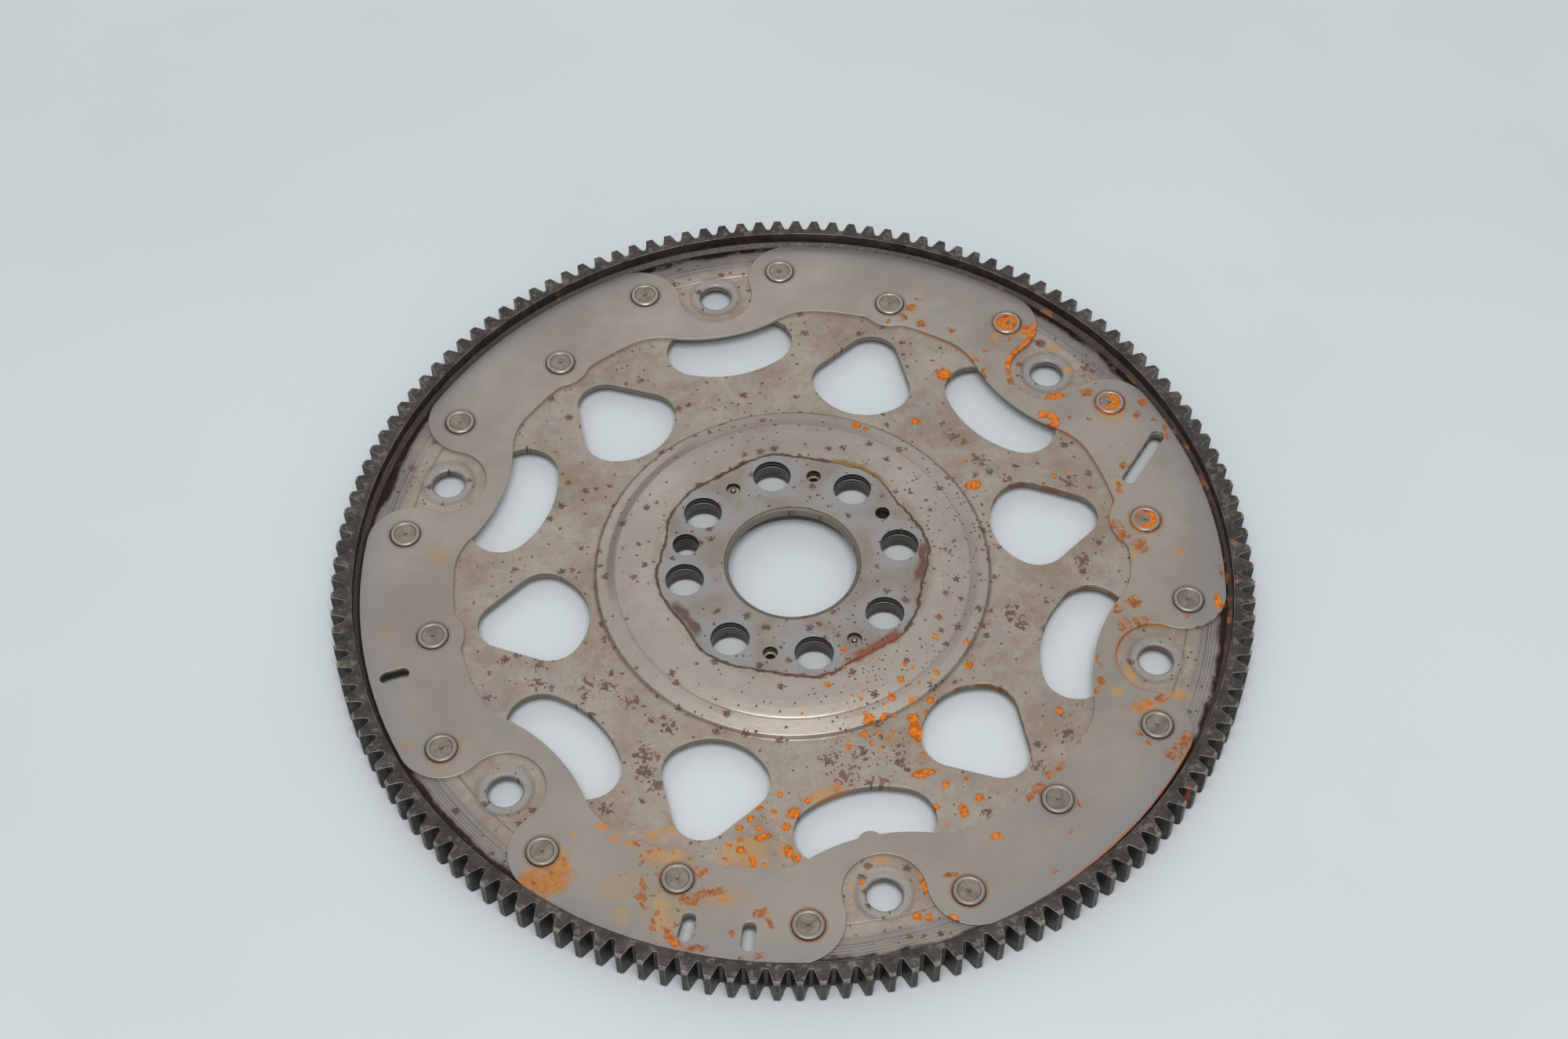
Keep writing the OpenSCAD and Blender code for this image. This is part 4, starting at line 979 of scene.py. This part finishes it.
ragged = use(tree, shaken, Place=flat, Reach=2.4 * MM, Grain=500.0)["Place"]
rusted = ramp(tree, stains(tree, flat, RUSTY_RIVETS), 0.2, 0.3)
bare = ramp(tree, stains(tree, ragged, BARE_SPOTS), 0.0, 0.3)
cup = times(tree, ramp(tree, middle, 3.75 * MM, 3.45 * MM), calc(tree, "SUBTRACT", 1.0, bare))
ring = times(tree, ramp(tree, middle, 4.75 * MM, 5.0 * MM), ramp(tree, cloud["Cloud"], 0.42, 0.55))
fresh = times(tree, rusted, worn["Upper"], calc(tree, "MAXIMUM", cup, ring))
wet = ramp(tree, noise(tree, flat, 55, 2)[0], 0.5, 0.62, 0.0, 0.5)
wet = times(tree, ramp(tree, middle, 4.85 * MM, 5.05 * MM), wet)
tone = blend(tree, wet, tone, colour(140, 92, 60))
depth = ramp(tree, cloud["Cloud"], 0.3, 0.6, 0.1, 0.6)
tone = blend(tree, fresh, tone, fresh_colour(tree, depth, cloud["Grain"]))
finish_material(
    tree, shader,
    Base_Color=tone,
    Metallic=ramp(tree, fresh, 0.1, 0.8, 0.85, 0.0),
    Specular_IOR_Level=RUST_SHEEN,
    Roughness=calc(tree, "MULTIPLY_ADD", fresh, 0.4, ramp(tree, bead, 0.0, 1.0, 0.42, 0.32)),
    Normal=worn["Normal"],
)
print("rusted", len(RUSTY_RIVETS), "rivets")

# %% [markdown]
# ## The spacer
# The spacer under the hub is a plain turned washer. It shows only through the holes of the hub: its top is painted
# pale in the two stepped holes, painted light, and dark in the blind one, painted shade. The walls of its own holes
# carry a few bright lines, the top one a painted highlight on the chamfer, and their corners are darkened with
# painted shade and dirt.

# %% Material: spacer
SPACER_TOP = 6.88 * MM
STEPPED_HOLES = [(14.8, 32.4, 4.0), (-14.8, -32.4, 4.0)]
WALL_LINES = ((6.6, 0.3, 0.85), (5.2, 0.25, 0.5), (4.1, 0.2, 0.4))  # height, half width, strength

spacer, tree, shader, place = start_material("spacer_steel")
where = use(tree, polar, Place=place)
cloud = use(tree, mottle, Place=place, Broad=80.0, Fine=900.0)
worn = use(tree, edges, Width=0.3 * MM, Corner=3.0 * MM)
rings = use(tree, turned, Radius=where["Radius"], Pitch=0.25 * MM)["Lines"]
tone = blend(tree, ramp(tree, cloud["Cloud"], 0.35, 0.65), colour(112, 105, 98), colour(92, 84, 76))
tone = blend(tree, ramp(tree, rings, 0.4, 0.65, 0.0, 0.3), tone, colour(70, 63, 57))
# Painted shade, with some dirt, in the corners of its walls.
tone = blend(tree, times(tree, worn["Dirt"], worn["Wall"], 0.4), tone, colour(48, 41, 36))
tone = blend(tree, times(tree, worn["Wall"], 0.6), tone, colour(64, 59, 55))
# The top is painted pale in the stepped holes, painted light, and dark in the blind one, painted shade.
top = ramp(tree, where["Height"], SPACER_TOP - 0.08 * MM, SPACER_TOP, 0.0, 0.85)
stepped = ramp(tree, stains(tree, where["Flat"], STEPPED_HOLES), 0.0, 0.1)
tone = blend(tree, top, tone, blend(tree, stepped, colour(34, 31, 29), colour(196, 184, 168)))
# Bright lines on the walls; the top one is a painted highlight on the chamfer.
for at, half, strength in WALL_LINES:
    tone = blend(tree, line(tree, where["Height"], at, half, strength), tone, colour(172, 165, 157))
tone = blend(tree, times(tree, worn["Edge"], 0.4), tone, colour(160, 152, 144))
matt = ramp(tree, cloud["Grain"], 0.3, 0.7, 0.36, 0.5)
finish_material(tree, shader, Base_Color=tone, Metallic=0.7, Roughness=matt, Normal=worn["Normal"])
print("made material", spacer.name)

# %% [markdown]
# ## The spacer's rivets
# The two rivets of the spacer are sunk in the hub and end in a small bright nipple, with painted shade and dirt
# round its foot.

# %% Material: spacer's rivets
nipple, tree, shader, place = start_material("nipple_steel")
cloud = use(tree, mottle, Place=place, Broad=400.0, Fine=1500.0)
worn = use(tree, edges, Width=0.2 * MM, Corner=2.0 * MM)
tone = blend(tree, ramp(tree, cloud["Cloud"], 0.3, 0.7), colour(176, 164, 152), colour(142, 126, 112))
# Painted shade, with some dirt, round the foot of the nipple.
tone = blend(tree, times(tree, worn["Dirt"], 0.7), tone, colour(70, 52, 40))
finish_material(tree, shader, Base_Color=tone, Metallic=0.9, Roughness=0.28, Normal=worn["Normal"])
print("made material", nipple.name)

# %% [markdown]
# ## Dress the nodes
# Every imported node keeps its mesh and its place. Only its material slot is filled anew.

# %% Put the materials on
dress = {
    "ring_gear": gear,
    "drive_disc": disc,
    "cover_ring": cover,
    "cover_rivets": rivet_head,
    "hub_spacer": spacer,
    "spacer_rivets": nipple,
}
for name, material in dress.items():
    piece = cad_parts[name]
    piece.data.materials.clear()
    piece.data.materials.append(material)
    print(name, "wears", material.name, "on", len(piece.data.polygons), "faces")

# %% [markdown]
# ## Floor
# The part lies on a pale, plain table. A large plane just below the part is enough. Its tone drifts a
# little, as any real table top does.

# %% Floor
bpy.ops.mesh.primitive_plane_add(size=8.0, location=(0.0, 0.0, -0.02 * MM))
floor = bpy.context.object
floor.name = "floor"
table, tree, shader, place = start_material("table")
drift = noise(tree, place, 6, 3)[0]
tone = blend(tree, ramp(tree, drift, 0.3, 0.7), colour(189, 195, 198), colour(193, 199, 202))
finish_material(tree, shader, Base_Color=tone, Roughness=0.6)
floor.data.materials.append(table)
print("laid the floor")

# %% [markdown]
# ## Light
# A light tent shines evenly from all sides, which the world does here, and a soft lamp hangs overhead. A surface
# tilted towards the viewer mirrors that lamp, which is why the near side of the shoulder is the brightest part of
# the sheet. A broad, weak lamp behind the part lifts its far side, as a white tent wall does. Lamps as large as
# these make short, soft shadows.

# %% Lamps and world
LAMPS = (  # name, place, width and depth in metres, power in watts
    ("soft_lamp", (-0.1, -0.5, 1.45), 0.8, 0.7, 15.5),
    ("tent_wall", (0.15, 1.35, 1.15), 1.4, 0.7, 2.1),
)

for name, spot, width, depth, watts in LAMPS:
    lamp = bpy.data.lights.new(name, "AREA")
    lamp.shape = "RECTANGLE"
    lamp.size = width
    lamp.size_y = depth
    lamp.energy = watts
    lamp.color = (1.0, 0.985, 0.96)
    hung = bpy.data.objects.new(name, lamp)
    hung.location = spot
    hung.rotation_euler = (-Vector(spot)).to_track_quat("-Z", "Y").to_euler()
    bpy.context.collection.objects.link(hung)

scene = bpy.context.scene
scene.world = bpy.data.worlds.new("room")
scene.world.use_nodes = True
air = scene.world.node_tree.nodes["Background"].inputs
air["Color"].default_value = (0.93, 0.97, 1.0, 1.0)
air["Strength"].default_value = 0.62
scene.view_settings.view_transform = "Standard"
print("hung", len(LAMPS), "lamps in a bright room")

# %% [markdown]
# ## Camera
# The photographer stood over the near edge and looked down at about 54 degrees, a little from the left.
# The camera is turned from those angles: first its back, right and up directions, then a slight roll.

# %% Camera
TILT, ROLL, TURN = math.radians(54.142), math.radians(-0.5695), math.radians(-12.518)
TARGET, STAND_OFF = Vector((1.78, 20.16, 5.8)) * MM, 0.78272

lens = bpy.data.cameras.new("camera")
lens.lens = 54.22
lens.sensor_width = 36.0
camera = bpy.data.objects.new("camera", lens)
turn = Matrix.Rotation(TURN, 3, "Z")
back = Vector((0.0, -math.cos(TILT), math.sin(TILT)))
right = Vector((1.0, 0.0, 0.0))
up = Vector((0.0, math.sin(TILT), math.cos(TILT)))
level = right * math.cos(ROLL) + up * math.sin(ROLL)
crown = up * math.cos(ROLL) - right * math.sin(ROLL)
stance = turn @ Matrix((level, crown, back)).transposed()
camera.matrix_world = Matrix.Translation(TARGET + turn @ back * STAND_OFF) @ stance.to_4x4()
bpy.context.collection.objects.link(camera)
scene.camera = camera
print("camera at", [round(v, 4) for v in camera.matrix_world.translation])
